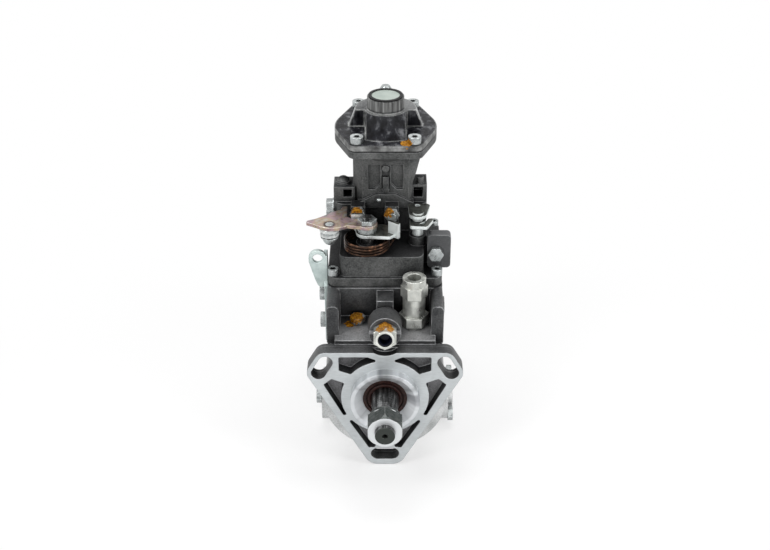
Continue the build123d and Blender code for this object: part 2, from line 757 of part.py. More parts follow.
# Stop solenoid: threaded case with a sliding armature that blanks the feed bore
case = rod_z(7, -12, 1) + plate_z(hexagon(24), 0, 6) + rod_z(solenoid_radius, 5, 32)
case += rod_z(4, 32, 38)
case -= rod_z(3.5 + running_gap, -13, 21)
solenoid_seat = Pos(0, solenoid_y, head_pad_z)
save("stop_solenoid", solenoid_seat * case)
save("stop_armature", solenoid_seat * rod_z(3.5, -11, 12))
save("armature_spring", solenoid_seat * Pos(0, 0, 12.7) * coil(2.4, 0.6, 7.2, 4))


# Governor cover with the neck that carries the boost compensator
def neck():
    """The neck: chamfered corners, a waist on the right, two sunk panels and a rib between them."""
    left = boost_x - neck_half
    right = boost_x + neck_half
    front = boost_y - neck_front
    waist = [
        (right - 5, rim_z - 33), (right - 4, rim_z - 27), (right - 1.5, rim_z - 20),
        (right + 1.5, rim_z - 9)
    ]
    side_view = outline_of(
        [
            (left, cover_deck_z - 2), (right - 5, cover_deck_z - 2), *waist, (right + 1.5, rim_z),
            (left, rim_z)
        ]
    )
    corner = neck_chamfer
    plan = outline_of([
        (left, front + corner + 1), (left + corner, front),
        (right - corner, front), (right + 1.5, front + corner + 1),
        (right + 1.5, neck_rear_y - corner - 1), (right - corner, neck_rear_y),
        (left + corner, neck_rear_y), (left, neck_rear_y - corner - 1),
    ])
    body = plate_y(side_view, front - 1, neck_rear_y + 1) & plate_z(plan, cover_deck_z - 2, rim_z)
    top = rim_z - 12
    low = rim_z - 31.7
    for side in (-1, 1):
        corners = [(3.8, low + 4.3), (3.8, top), (12.8, top), (12.8, low), (8, low)]
        panel = rounded(outline_of([(boost_x + side * x, z) for x, z in corners]), 0.5)
        body -= plate_y(panel, front - 1, front + 2)
    channel = 3
    body -= block(boost_x - channel, boost_x + channel, front - 1, front + 1.5, low, top - 1)
    body += block(
        boost_x - channel + 0.9, boost_x + channel - 0.9, front - 1.5, front + 2, low - 1.5, low + 10.5
    )
    body += rod_y(2.6, front - 1.5, front + 2, x=boost_x, z=top - 2.5)
    skirt_z = shoulder_z - 2
    skirt = outline_of([
        (boost_x - 20.5, skirt_z), (boost_x + 20.5, skirt_z), (boost_x + 20.5, skirt_z + 4),
        (boost_x + 7.5, skirt_z + 11), (boost_x - 7.5, skirt_z + 11), (boost_x - 20.5, skirt_z + 4),
    ])
    return body + plate_y(skirt, front - 2, front + 4)


def governor_cover():
    mid_y = (cover_front_y + cover_rear_y) / 2
    depth = cover_rear_y - cover_front_y
    cover = plate_z(rounded_box_outline(cover_width, depth, 7, y=mid_y), cover_base_z, cover_plate_z)
    top_width = cover_right_x - cover_left_x
    top_x = (cover_right_x + cover_left_x) / 2
    cover += plate_z(
        rounded_box_outline(top_width, depth - 4, 6, top_x, mid_y), cover_plate_z - 1, cover_deck_z
    )
    shoulder_width = shoulder_right_x - shoulder_left_x
    shoulder_mid_x = (shoulder_right_x + shoulder_left_x) / 2
    shoulder = rounded_box_outline(shoulder_width, shoulder_depth, 6, shoulder_mid_x, boost_y - 2)
    cover += plate_z(shoulder, cover_deck_z - 1, shoulder_z)
    cover += neck()
    flare = Cone(neck_half, boost_radius - 3, 9, align=(Align.CENTER, Align.CENTER, Align.MIN))
    cover += Pos(boost_x, boost_y, rim_z - 9) * flare
    cover += plate_z(boost_outline(), rim_z, boost_joint_z)
    lug_y = boost_y - 10
    cover += block(
        shoulder_left_x - 1, boost_x - neck_half + 1, lug_y - 9, lug_y + 9, shoulder_z - 14,
        lug_top_z - 2
    )
    cover += rod_z(6, lug_top_z - 3, lug_top_z, x=-31, y=lug_y) + Pos(-31, lug_y, lug_top_z - 2) * Sphere(5)
    cover += block(18, shoulder_right_x, lug_y - 9, lug_y + 9, shoulder_z - 2, lug_top_z)
    cover += rod_z(2.6, lug_top_z - 1, lug_top_z + 5, x=26, y=lug_y - 5)
    cover += rod_z(8, cover_deck_z - 1, cover_deck_z + 6, x=lever_x, y=lever_y)
    cover += rod_z(6.5, cover_deck_z - 1, cover_deck_z + 7, x=stop_lever_x, y=stop_lever_y)
    cover += block(cover_right_x, support_bolt_x + 3, 68, 84, cover_plate_z - 1, cover_deck_z + 6)
    for x in stop_screw_places:
        cover += block(x - 5, x + 5, stop_screw_y, stop_screw_y + 10, cover_deck_z - 1, stop_screw_z + 5)
    cover -= block(21, 28, 91, 104, lug_top_z - 10, lug_top_z - 2)
    cover -= block(-31, -24.5, 91, 104, lug_top_z - 10, lug_top_z - 4)
    cover -= rod_x(4 + screw_gap, shoulder_left_x - 2, shoulder_left_x + 9, y=side_plug_y, z=side_plug_z)
    inner = block(
        cover_left_x + cover_wall, cover_right_x - cover_wall,
        chamber_inner_y, cover_rear_y - 8, cover_base_z - 1, cover_deck_z - cover_wall,
    )
    cover -= inner
    cover -= rod_z(
        lever_shaft_radius + running_gap, cover_deck_z - 10, cover_deck_z + 8, x=lever_x, y=lever_y
    )
    cover -= rod_z(4 + running_gap, cover_deck_z - 10, cover_deck_z + 8, x=stop_lever_x, y=stop_lever_y)
    cover -= rod_z(
        guide_pin_radius + running_gap, cover_deck_z - 10, boost_floor_z + 1, x=boost_x, y=boost_y
    )
    cover -= rod_z(boost_chamber_radius, boost_floor_z + 10, boost_joint_z + 1, x=boost_x, y=boost_y)
    cover -= rod_z(21, boost_floor_z, boost_floor_z + 11, x=boost_x, y=boost_y)
    for x, y in screw_seats:
        cover -= rod_z(2.5 + screw_gap, cover_base_z - 1, cover_plate_z + 1, x=x, y=y)
        cover -= rod_z(4.6, cover_plate_z, cover_deck_z + 5, x=x, y=y)
    for x, y in boost_screws:
        cover -= rod_z(2.5 + screw_gap, rim_z - 1, boost_joint_z + 1, x=x, y=y)
    for x in stop_screw_places:
        cover -= rod_y(3 + screw_gap, stop_screw_y - 1, stop_screw_y + 11, x=x, z=stop_screw_z)
    cover -= rod_y(3 + screw_gap, 67, 82, x=support_bolt_x, z=support_bolt_z)
    cover -= rod_y(5 + screw_gap, neck_rear_y - 9, neck_rear_y + 1, x=boost_x, z=return_z)
    return cover


def boost_outline():
    circles = [(x, y, boost_lug_radius) for x, y in boost_screws]
    return hull_of_circles(circles + [(boost_x, boost_y, boost_radius)])


stop_screw_places = (-20, 5)
stop_screw_y = 78
support_left_x = half_chamber - 11
support_right_x = half_chamber + 6
support_bolt_x = half_chamber - 5
support_bolt_z = 87
save("governor_cover", governor_cover())
gasket_y = (cover_front_y + cover_rear_y) / 2
gasket_depth = cover_rear_y - cover_front_y - 1
gasket = rounded_box_outline(cover_width - 1, gasket_depth, 7, y=gasket_y)
gasket -= rounded_box_outline(2 * inner_half, gasket_depth - 10, 3, y=gasket_y)
for x, y in screw_seats:
    gasket -= Pos(x, y) * Circle(2.5 + screw_gap)
save("cover_gasket", plate_z(gasket, joint_z, cover_base_z))
socket_screws = [Pos(x, y, cover_plate_z) * cap_screw(2.5, 19, 4, 5, 4) for x, y in screw_seats]

# Boost compensator: dished cover with four ribs, cap, diaphragm, plates, pin and spring
upper_base_z = boost_joint_z + diaphragm_thickness
upper_rim_z = upper_base_z + upper_rim_thickness


def boost_cover():
    rim = plate_z(boost_outline(), upper_base_z, upper_rim_z)
    cover = fillet(rim.edges().group_by(Axis.Z)[-1], rim_round)
    height = dome_top_z - upper_rim_z + 0.5
    low_middle = (Align.CENTER, Align.CENTER, Align.MIN)
    foot = Pos(boost_x, boost_y, upper_rim_z - 0.5)
    nose = foot * Cone(boost_radius - 5, cap_seat_radius + 2.5, height, align=low_middle)
    nose &= block(
        boost_x - nose_half, boost_x + nose_half, boost_y - boost_radius, boost_y, upper_rim_z - 1,
        dome_top_z
    )
    plateau = foot * Cone(plateau_radius + 5, plateau_radius, height, align=low_middle)
    plateau &= block(boost_x - 40, boost_x + 40, boost_y - 4, boost_y + 20, upper_rim_z - 1, dome_top_z)
    cover += nose + plateau
    cover += rod_z(cap_seat_radius + 2.5, upper_rim_z - 1, dome_top_z, x=boost_x, y=boost_y)
    cover += rod_z(cap_seat_radius, dome_top_z - 1, collar_top_z, x=boost_x, y=boost_y)
    reach = (boost_screw_x ** 2 + boost_screw_y ** 2) ** 0.5
    rib_low = upper_rim_z - 1
    rib_high = dome_top_z - 3
    rib_profile = outline_of(
        [(10, rib_low), (reach - 4, rib_low), (reach - 7, upper_rim_z + 3), (22, rib_high), (10, rib_high)]
    )
    rib = extrude(Plane.XZ * rib_profile, amount=1.6, both=True)
    cover += rod_z(7, upper_rim_z - 1, nipple_seat_z, x=boost_x, y=nipple_y)
    rear_angle = degrees(atan2(boost_screw_y, boost_screw_x))
    for angle in (rear_angle, 180 - rear_angle):
        cover += Pos(boost_x, boost_y, 0) * Rot(Z=angle) * rib
    cover -= rod_z(21, upper_base_z - 1, upper_rim_z - 1.6, x=boost_x, y=boost_y)
    cover -= rod_z(cap_seat_radius - 1, upper_rim_z - 2, dome_top_z - 5, x=boost_x, y=boost_y)
    cover -= rod_z(10.4 + screw_gap, upper_base_z, collar_top_z + 1, x=boost_x, y=boost_y)
    cover -= rod_z(4 + screw_gap, nipple_seat_z - 5, nipple_seat_z + 1, x=boost_x, y=nipple_y)
    for x, y in boost_screws:
        cover -= rod_z(2.5 + screw_gap, upper_base_z - 1, upper_rim_z + 8, x=x, y=y)
        cover -= rod_z(4.9, upper_rim_z, upper_rim_z + 12, x=x, y=y)
    return cover


save("boost_cover", boost_cover())
socket_screws += [Pos(x, y, upper_rim_z) * cap_screw(2.5, 10, 4.7, 5, 4) for x, y in boost_screws]
save_group("socket_screws", socket_screws)
cap = rod_z(10.4, collar_top_z - 6, collar_top_z + 0.6, x=boost_x, y=boost_y)
save("boost_cap", cap)
cap_ring = rod_z(12.6, collar_top_z, collar_top_z + 1.2, x=boost_x, y=boost_y)
cap_ring -= rod_z(10.4 + screw_gap, collar_top_z - 1, collar_top_z + 2, x=boost_x, y=boost_y)
save_group("rubber_rings", cover_rings + [cap_ring])
nipple = rod_z(4, -4.5, 0) + plate_z(hexagon(12), 0, 5) + rod_z(4.6, 4, 8)
nipple += Pos(0, 0, 8) * Cone(4.6, 3, 2.5, align=(Align.CENTER, Align.CENTER, Align.MIN))
save("boost_nipple", Pos(boost_x, nipple_y, nipple_seat_z) * nipple)
diaphragm = plate_z(boost_outline(), boost_joint_z, upper_base_z)
diaphragm -= rod_z(5, boost_joint_z - 1, upper_base_z + 1, x=boost_x, y=boost_y)
for x, y in boost_screws:
    diaphragm -= rod_z(2.5 + screw_gap, boost_joint_z - 1, upper_base_z + 1, x=x, y=y)
save("boost_diaphragm", diaphragm)
guide = rod_z(guide_pin_radius, 100, boost_joint_z - 3, x=boost_x, y=boost_y)
guide += rod_z(4.8, boost_joint_z - 4, upper_base_z + 3, x=boost_x, y=boost_y)
guide += rod_z(19, boost_joint_z - 4, boost_joint_z - loose_gap, x=boost_x, y=boost_y)
groove_cone = Pos(boost_x, boost_y, 112) * Cone(7, 5, 12)
guide -= rod_z(guide_pin_radius + 1, 106, 118, x=boost_x, y=boost_y) - groove_cone
save("boost_guide_pin", guide)
plate_top = rod_z(19, upper_base_z + loose_gap, upper_base_z + 2, x=boost_x, y=boost_y)
plate_top += plate_z(Pos(boost_x, boost_y) * hexagon(13), upper_base_z + 1.9, upper_base_z + 5)
plate_top -= rod_z(4.8 + screw_gap, upper_base_z - 1, upper_base_z + 6, x=boost_x, y=boost_y)
save("boost_top_plate", plate_top)
boost_coil = Pos(boost_x, boost_y, boost_floor_z + 1.1) * coil(
    13, 1, boost_joint_z - 4 - boost_floor_z - 2.2, 3
)
save("boost_spring", boost_coil)

# Control lever, throttle arm, their shaft and the return spring on the cover boss
lever_shaft = rod_z(lever_shaft_radius, cover_deck_z - 12, throttle_arm_z + sheet, x=lever_x, y=lever_y)
lever_shaft += rod_z(lever_shaft_radius - 1.5, throttle_arm_z, throttle_arm_z + 7.5, x=lever_x, y=lever_y)
lever_shaft += block(
    lever_x - 4, lever_x + 12, lever_y - 4, lever_y + 4, cover_deck_z - 12.5, cover_deck_z - 9
)
save("control_shaft", lever_shaft)
control_points = [
    (-33, 71), (-33, 68.5), (-22.5, 67.5), (-21, 60.5), (-17.5, 59), (-15.5, 53.5), (-9, 52), (3.5, 51.2),
    (7, 55), (11, 62), (9, 65), (6, 67), (-2, 70), (-12, 70.5), (-24, 71),
]
lever_hole = Pos(lever_x, lever_y) * Circle(lever_shaft_radius + screw_gap)
control_outline = outline_of(control_points) + Pos(lever_x, lever_y) * Circle(lever_shaft_radius + 3)
control_outline -= lever_hole
control = plate_z(control_outline, control_plate_z, control_plate_z + sheet)
tab_top = stop_screw_z + 4
control += block(-24.5, -15.5, 70 - sheet, 70, control_plate_z, tab_top)
full_tab = block(0.5, 9.5, 70 - sheet, 70, control_plate_z, tab_top)
control += Pos(lever_x, lever_y, 0) * Rot(Z=-lever_sweep) * Pos(-lever_x, -lever_y, 0) * full_tab
save("control_lever", control)
arm_points = [
    (-57, 61), (-52, 58), (-46, 54), (-40, 51.5), (-33, 52.5), (-27, 56), (-13, 53), (-8, 56),
    (-8, 64), (-13, 66.5), (-24, 66.5), (-28, 70), (-27.8, 86), (-31, 85.5), (-33, 80),
    (-38, 77.5), (-44, 71.5), (-50, 66.5), (-56, 63.5),
]
arm_outline = rounded(outline_of(arm_points), 0.6)
arm_outline += Pos(lever_x, lever_y) * Circle(lever_shaft_radius + 2.5)
arm_outline -= lever_hole + Pos(arm_eye_x, arm_eye_y) * Circle(3)
save("throttle_arm", plate_z(arm_outline, throttle_arm_z, throttle_arm_z + sheet))
arm_top_z = throttle_arm_z + sheet
spacer = rod_z(7, control_plate_z + sheet, throttle_arm_z, x=lever_x, y=lever_y)
spacer -= rod_z(lever_shaft_radius + screw_gap, control_plate_z, arm_top_z, x=lever_x, y=lever_y)
lever_nut = plate_z(Pos(lever_x, lever_y) * hexagon(12), arm_top_z, arm_top_z + 3.5)
lever_nut -= rod_z(
    lever_shaft_radius - 1.5 + screw_gap, throttle_arm_z, arm_top_z + 4, x=lever_x, y=lever_y
)
stud = rod_z(2.9, throttle_arm_z - 6, arm_top_z, x=arm_eye_x, y=arm_eye_y)
stud += rod_z(6.5, throttle_arm_z - 2.5, throttle_arm_z, x=arm_eye_x, y=arm_eye_y)
stud += Pos(arm_eye_x, arm_eye_y, throttle_arm_z - 9) * Sphere(5)
save_group("throttle_arm_fittings", [spacer, lever_nut, stud])
return_spring = Pos(lever_x, lever_y, cover_deck_z + 1.3) * coil(
    coil_radius, coil_wire, control_plate_rise - 3, coil_turns
)
save("throttle_return_spring", return_spring)
spring_z = cover_deck_z - 11.5
governor_coil = facing(lever_x + 9, lever_y + 5, spring_z, (0, 1, 0)) * coil(1.6, 0.35, 19, 6)
save("governor_spring", governor_coil)

# Stop screws with lock nuts
screws = []
nuts = []
for x in stop_screw_places:
    screw = rod_y(3, 70 + loose_gap, stop_screw_y + 9, x=x, z=stop_screw_z)
    screws.append(screw)
    lock = plate_y(Pos(x, stop_screw_z) * hexagon(10), stop_screw_y - 4.5, stop_screw_y)
    nuts.append(lock - rod_y(3 + screw_gap, 60, 90, x=x, z=stop_screw_z))
save_group("speed_stop_screws", screws + nuts)

# Stop lever on the right
hook_z = cover_deck_z + 16.5
upper_z = hook_z + 5
stop_shaft = rod_z(4, cover_deck_z - 5.5, upper_z + sheet + 1, x=stop_lever_x, y=stop_lever_y)
stop_hole = Pos(stop_lever_x, stop_lever_y) * Circle(4 + screw_gap)
ears = [(stop_lever_x - 4, stop_lever_y + 12, 3), (stop_lever_x + 6, stop_lever_y + 12, 3)]
upper = hull_of_circles([(stop_lever_x, stop_lever_y, 6.5), *ears])
upper -= stop_hole + Pos(stop_lever_x, stop_lever_y + 12) * Circle(2)
hook_bends = [(stop_lever_x - 4, 61, 2), (stop_lever_x + 5, 60, 2), (stop_lever_x + 9, 69, 2)]
hook = hull_of_circles([(stop_lever_x, stop_lever_y, 6), hook_bends[0]])
hook += hull_of_circles(hook_bends[:2]) + hull_of_circles(hook_bends[1:])
stop_parts = [
    stop_shaft, plate_z(upper, upper_z, upper_z + sheet),
    plate_z(hook - stop_hole, hook_z, hook_z + sheet)
]
save_group("stop_lever", stop_parts)

# Fuel fittings
union = rod_z(6, -8, 0) + rod_z(9.2, 0, 1.5) + plate_z(hexagon(19), 1.5, 9) + rod_z(8.2, 9, 24)
union += plate_z(hexagon(17), 24, 33) + rod_z(8.4, 33, 39)
union -= rod_z(5, 4, 40) + rod_z(3, -9, 6)
save("inlet_union", Pos(inlet_x, inlet_y, deck_z) * union)
overflow = rod_x(5, -8, 0) + rod_x(8, 0, 2) + rod_x(5, 1, 14) + plate_x(hexagon(14), 13, 18)
overflow += rod_x(8, 3, 12) + rod_z(4, -16, 0, x=7.5) - rod_x(5 + screw_gap, 3, 12)
overflow -= rod_x(2, -9, 6) + rod_z(2.4, -17, -6, x=7.5)
save("return_union", Pos(boost_x, neck_rear_y, return_z) * Rot(Z=90) * overflow)
hex_bolts.append(Pos(deck_bolt_x, deck_bolt_y, deck_z) * hex_bolt(3, 8, 10, 5))
side_plug = hex_bolt(4, 8, 12, 6) + rod_z(7.5, 0, 1.2)
hex_bolts.append(facing(shoulder_left_x - 1, side_plug_y, side_plug_z, (-1, 0, 0)) * side_plug)

# Regulating valve: body in the inclined bore, spool and spring inside
valve = rod_z(7, -14.5, 0) + plate_z(hexagon(valve_flats, 90), 0, 8.5) + rod_z(6.8, 8.5, 12)
valve -= rod_z(5.2, 2, 13) + rod_z(3.6, -16, -2)
save("regulating_valve", valve_plane * valve)
save("valve_spool", valve_plane * rod_z(3.55, -14, -9))
save("valve_spring", valve_plane * Pos(0, 0, -8.4) * coil(2.6, 0.5, 5.7, 4))

# Brackets
bracket_low_z = body_radius - bracket_drop
bracket_top_z = joint_z + bracket_rise
side_plate = rounded_box_outline(
    22, bracket_top_z - bracket_low_z, 5, 61, (bracket_top_z + bracket_low_z) / 2
)
bracket = plate_x(side_plate, bracket_x, -half_chamber)
finger = outline_of(
    [(52, bracket_top_z - 4), (70, bracket_top_z - 4), (62, bracket_top_z + 20), (52, bracket_top_z + 20)]
)
bracket += plate_x(finger, bracket_x, -half_chamber)
knee = (bracket_x - 3.5, bracket_top_z + 2, 3.5)
eye = Pos(bracket_x - 4.5, bracket_top_z + 18)
arms = hull_of_circles([knee, (bracket_x - 8.5, bracket_top_z + 16, 2.5)])
arms += hull_of_circles([knee, (bracket_x - 1, bracket_top_z + 16, 2.5)])
arms += hull_of_circles([knee, (bracket_x - 2, bracket_top_z - 3, 3)]) + eye * Circle(6.5)
bracket += plate_y(arms - eye * Circle(3.6), 52, 55)
for y, z in bracket_screws:
    bracket -= rod_x(3 + screw_gap, bracket_x - 1.5, -half_chamber + 1, y=y, z=z)
save("cable_bracket", bracket)
hex_bolts += [facing(bracket_x, y, z, (-1, 0, 0)) * hex_bolt(3, 8, 10, 4) for y, z in bracket_screws]
support = plate_y(rounded(outline_of([
    (support_left_x, 74), (support_right_x, 74), (support_right_x, 101), (support_left_x, 101)
]), 3), 60, 68)
support -= rod_y(3 + screw_gap, 59, 69, x=support_bolt_x, z=support_bolt_z)
save("support_bracket", support)
hex_bolts.append(facing(support_bolt_x, 60, support_bolt_z, (0, -1, 0)) * hex_bolt(3, 20, 10, 5))
save_group("hex_bolts", hex_bolts)
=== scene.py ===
import math
import bmesh
import bpy
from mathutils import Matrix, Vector


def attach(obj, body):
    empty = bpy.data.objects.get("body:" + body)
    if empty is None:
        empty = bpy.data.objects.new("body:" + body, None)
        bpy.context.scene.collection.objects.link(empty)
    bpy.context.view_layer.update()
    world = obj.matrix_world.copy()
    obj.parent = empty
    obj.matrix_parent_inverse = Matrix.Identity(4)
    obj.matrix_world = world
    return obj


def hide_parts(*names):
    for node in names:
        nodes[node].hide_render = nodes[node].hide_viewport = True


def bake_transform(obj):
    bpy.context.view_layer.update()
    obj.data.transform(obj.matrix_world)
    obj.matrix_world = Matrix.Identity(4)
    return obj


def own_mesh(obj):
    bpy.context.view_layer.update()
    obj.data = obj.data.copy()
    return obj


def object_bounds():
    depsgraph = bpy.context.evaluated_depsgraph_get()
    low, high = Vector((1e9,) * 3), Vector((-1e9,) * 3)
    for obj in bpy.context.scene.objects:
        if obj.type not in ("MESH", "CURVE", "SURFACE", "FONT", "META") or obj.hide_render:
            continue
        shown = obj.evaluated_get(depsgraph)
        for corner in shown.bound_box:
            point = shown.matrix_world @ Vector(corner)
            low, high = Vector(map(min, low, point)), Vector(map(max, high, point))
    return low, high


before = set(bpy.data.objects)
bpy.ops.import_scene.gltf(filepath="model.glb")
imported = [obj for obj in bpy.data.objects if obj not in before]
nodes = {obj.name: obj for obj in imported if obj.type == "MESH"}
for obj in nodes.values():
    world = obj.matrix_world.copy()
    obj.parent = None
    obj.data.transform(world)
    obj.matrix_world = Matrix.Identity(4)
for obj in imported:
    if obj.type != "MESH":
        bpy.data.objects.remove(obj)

solids_low, solids_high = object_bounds()


# Pump housing and timing end covers: light alloy castings, left rough and grey from the
# mould. The flange face and the pilot are cut bright afterwards, so the finish changes there
# from grain to tool marks, and the pilot has a painted sheen. Low down the casting is painted
# pale, as a painted reflection of the white surroundings, and its hollows carry painted shade.
def new_finish(name, roughness, metallic=0.0, specular=None):
    finish = bpy.data.materials.new(name)
    finish.use_nodes = True
    shader = finish.node_tree.nodes["Principled BSDF"]
    shader.inputs["Base Color"].default_value = (0.5, 0.5, 0.5, 1)
    shader.inputs["Roughness"].default_value = roughness
    shader.inputs["Metallic"].default_value = metallic
    if specular is not None:
        shader.inputs["Specular IOR Level"].default_value = specular
    return finish


def add(finish, kind, **settings):
    """A new node, with its sockets and settings given by name."""
    node = finish.node_tree.nodes.new(kind)
    for key, value in settings.items():
        if key in node.inputs:
            node.inputs[key].default_value = value
        else:
            setattr(node, key, value)
    return node


def join(finish, source, target):
    finish.node_tree.links.new(source, target)


def feed(finish, value, socket):
    """Sets a socket to a number or a colour, or joins another node's output to it."""
    if isinstance(value, (int, float)):
        socket.default_value = value
    elif isinstance(value, tuple):
        socket.default_value = (*value, 1)
    else:
        join(finish, value, socket)


def shader_input(finish, name):
    return finish.node_tree.nodes["Principled BSDF"].inputs[name]


def apply_look(finish, tone, normal):
    join(finish, tone, shader_input(finish, "Base Color"))
    join(finish, normal, shader_input(finish, "Normal"))


def position(finish):
    """The place on a piece: on the frame's nodes, in metres from flange face and shaft axis."""
    return add(finish, "ShaderNodeTexCoord").outputs["Object"]


def split(finish, vector):
    """The x, y and z of a vector."""
    parts = add(finish, "ShaderNodeSeparateXYZ")
    join(finish, vector, parts.inputs[0])
    return tuple(parts.outputs)


def facing(finish):
    """The x, y and z of the way that the surface faces."""
    return split(finish, add(finish, "ShaderNodeNewGeometry").outputs["True Normal"])


def stretched(finish, vector, scale):
    mapping = add(finish, "ShaderNodeMapping", Scale=scale)
    join(finish, vector, mapping.inputs["Vector"])
    return mapping.outputs["Vector"]


def grain(finish, vector, scale, detail=3.0, rough=0.6, distortion=0.0):
    noise = add(finish, "ShaderNodeTexNoise", Scale=scale, Detail=detail, Roughness=rough,
                Distortion=distortion)
    join(finish, vector, noise.inputs["Vector"])
    return noise.outputs["Fac"]


def sums(finish, operation, *values, clamp=False):
    node = add(finish, "ShaderNodeMath", operation=operation, use_clamp=clamp)
    for value, socket in zip(values, node.inputs):
        feed(finish, value, socket)
    return node.outputs[0]


def product(finish, first, *others):
    for other in others:
        first = sums(finish, "MULTIPLY", first, other)
    return first


def weighed(finish, first, first_share, second, second_share):
    """Two grains added together, each by its share."""
    first = product(finish, first, first_share)
    return sums(finish, "ADD", first, product(finish, second, second_share))


def spread(finish, value, low, high, to_low=0.0, to_high=1.0):
    """Carries a value from one range to another, with a soft start and end."""
    node = add(finish, "ShaderNodeMapRange", interpolation_type="SMOOTHSTEP")
    ends = {"Value": value, "From Min": low, "From Max": high, "To Min": to_low, "To Max": to_high}
    for name, end in ends.items():
        feed(finish, end, node.inputs[name])
    return node.outputs["Result"]


def shades(finish, value, stops):
    """Colours a value by stops of (value, colour)."""
    ramp = add(finish, "ShaderNodeValToRGB")
    while len(ramp.color_ramp.elements) < len(stops):
        ramp.color_ramp.elements.new(0.5)
    for element, (place, color) in zip(ramp.color_ramp.elements, stops):
        element.position = place
        element.color = (*color, 1)
    join(finish, value, ramp.inputs["Fac"])
    return ramp.outputs["Color"]


def blend(finish, share, first, second, kind="RGBA"):
    """Mixes two colours, or two values with FLOAT, or two directions with VECTOR."""
    first_slot, result_slot = {"FLOAT": (2, 0), "VECTOR": (4, 1), "RGBA": (6, 2)}[kind]
    mix = add(finish, "ShaderNodeMix", data_type=kind)
    feed(finish, share, mix.inputs[0])
    feed(finish, first, mix.inputs[first_slot])
    feed(finish, second, mix.inputs[first_slot + 1])
    return mix.outputs[result_slot]


def relief(finish, height, strength, under=None, depth=0.0001):
    bump = add(finish, "ShaderNodeBump", Strength=strength, Distance=depth)
    join(finish, height, bump.inputs["Height"])
    if under is not None:
        join(finish, under, bump.inputs["Normal"])
    return bump.outputs["Normal"]


def rounded(finish, radius):
    """Rounds the shading of sharp edges."""
    return add(finish, "ShaderNodeBevel", samples=6, Radius=radius).outputs["Normal"]


def worn_and_highlit_edges(finish, rounded_normal, share, tone, pale_metal):
    """Pales the edges unevenly: partly metal bared by handling, partly a painted highlight where the
    rounded edges catch the light.
    """
    bend = add(finish, "ShaderNodeVectorMath", operation="DOT_PRODUCT")
    join(finish, rounded_normal, bend.inputs[0])
    join(finish, add(finish, "ShaderNodeNewGeometry").outputs["True Normal"], bend.inputs[1])
    edge = spread(finish, bend.outputs["Value"], 0.995, 0.9)
    patchiness = spread(finish, grain(finish, position(finish), 95, 3, 0.65), 0.36, 0.62, 0.25, 1.15)
    return blend(finish, product(finish, edge, patchiness, share), tone, pale_metal)


def plane_mask(finish, axis, place, way, reach=0.0003):
    """One where the surface lies in a plane across an axis and faces along it."""
    off = sums(finish, "SUBTRACT", split(finish, position(finish))[axis], place)
    near = sums(finish, "LESS_THAN", sums(finish, "ABSOLUTE", off), reach)
    faces = sums(finish, "GREATER_THAN", product(finish, facing(finish)[axis], way), 0.95)
    return product(finish, near, faces)


def painted_hollow_shade(finish, reach=0.012):
    """Share for painted shade: one in the open, falling to zero in corners and hollows."""
    hollow = add(finish, "ShaderNodeAmbientOcclusion", samples=4, Distance=reach)
    return spread(finish, hollow.outputs["AO"], 0.25, 0.85)


def cast_colour(finish, here, dark, light):
    mottled = weighed(finish, grain(finish, here, 38), 0.6, grain(finish, here, 900, 2), 0.4)
    return shades(finish, mottled, ((0.36, dark), (0.66, light)))


def cast_relief(finish, here, under):
    pits = grain(finish, here, 1100, 3, 0.65)
    waves = grain(finish, here, 240, 2, 0.5)
    return relief(finish, weighed(finish, pits, 0.7, waves, 0.8), 0.55, under, 0.00035)


def housing_skin(finish, here, y, z):
    """Cast grey: painted shade in hollows, pocket floors painted lighter, a painted reflection pale low
    down, paler shelf.
    """
    skin = cast_colour(finish, here, (0.04, 0.041, 0.043), (0.13, 0.132, 0.133))
    # painted shade in corners and hollows
    skin = blend(finish, painted_hollow_shade(finish), (0.02, 0.02, 0.021), skin)
    pocket_front, pocket_back = 0.0088, 0.0092
    before_back = sums(finish, "LESS_THAN", y, pocket_back)
    pocket_floor = product(finish, before_back, sums(finish, "GREATER_THAN", y, pocket_front))
    # pocket floors painted lighter, against the shade inside the pockets
    lifted_floor_tone = cast_colour(finish, here, (0.12, 0.12, 0.125), (0.34, 0.34, 0.35))
    skin = blend(finish, pocket_floor, skin, lifted_floor_tone)
    # painted reflection of the white surroundings: the body and its front ring pale low down
    reflection_top, reflection_foot, flange_back, ring_back = 0.012, -0.012, 0.0125, 0.0096
    low_down = spread(finish, z, reflection_top, reflection_foot)
    body = sums(finish, "GREATER_THAN", y, flange_back)
    to_front = sums(finish, "LESS_THAN", facing(finish)[1], -0.5)
    front_ring = product(finish, to_front, sums(finish, "GREATER_THAN", y, ring_back))
    pale_reflection = product(finish, low_down, sums(finish, "MAXIMUM", body, front_ring))
    pale_reflection_tone = cast_colour(finish, here, (0.36, 0.37, 0.37), (0.72, 0.73, 0.73))
    skin = blend(finish, pale_reflection, skin, pale_reflection_tone)
    shelf_z, shelf_back, shelf_front = 0.042, 0.036, 0.026
    shelf = plane_mask(finish, 2, shelf_z, 1)
    shelf = product(finish, shelf, spread(finish, y, shelf_back, shelf_front), 0.9)
    shelf_tone = cast_colour(finish, here, (0.16, 0.16, 0.165), (0.42, 0.425, 0.43))
    return blend(finish, shelf, skin, shelf_tone)


def pilot_sheen(finish, x, z):
    """Painted sheen: light and dark spokes round the shaft, as light falls on a turned face."""
    across = add(finish, "ShaderNodeCombineXYZ")
    join(finish, x, across.inputs[0])
    join(finish, z, across.inputs[2])
    spoke = add(finish, "ShaderNodeVectorMath", operation="NORMALIZE")
    join(finish, across.outputs[0], spoke.inputs[0])
    sheen = grain(finish, spoke.outputs[0], 1.5, 2, 0.5)
    return shades(finish, sheen, ((0.33, (0.24, 0.25, 0.26)), (0.43, (0.6, 0.62, 0.64)),
                                  (0.55, (0.7, 0.72, 0.74)), (0.66, (0.34, 0.35, 0.37))))


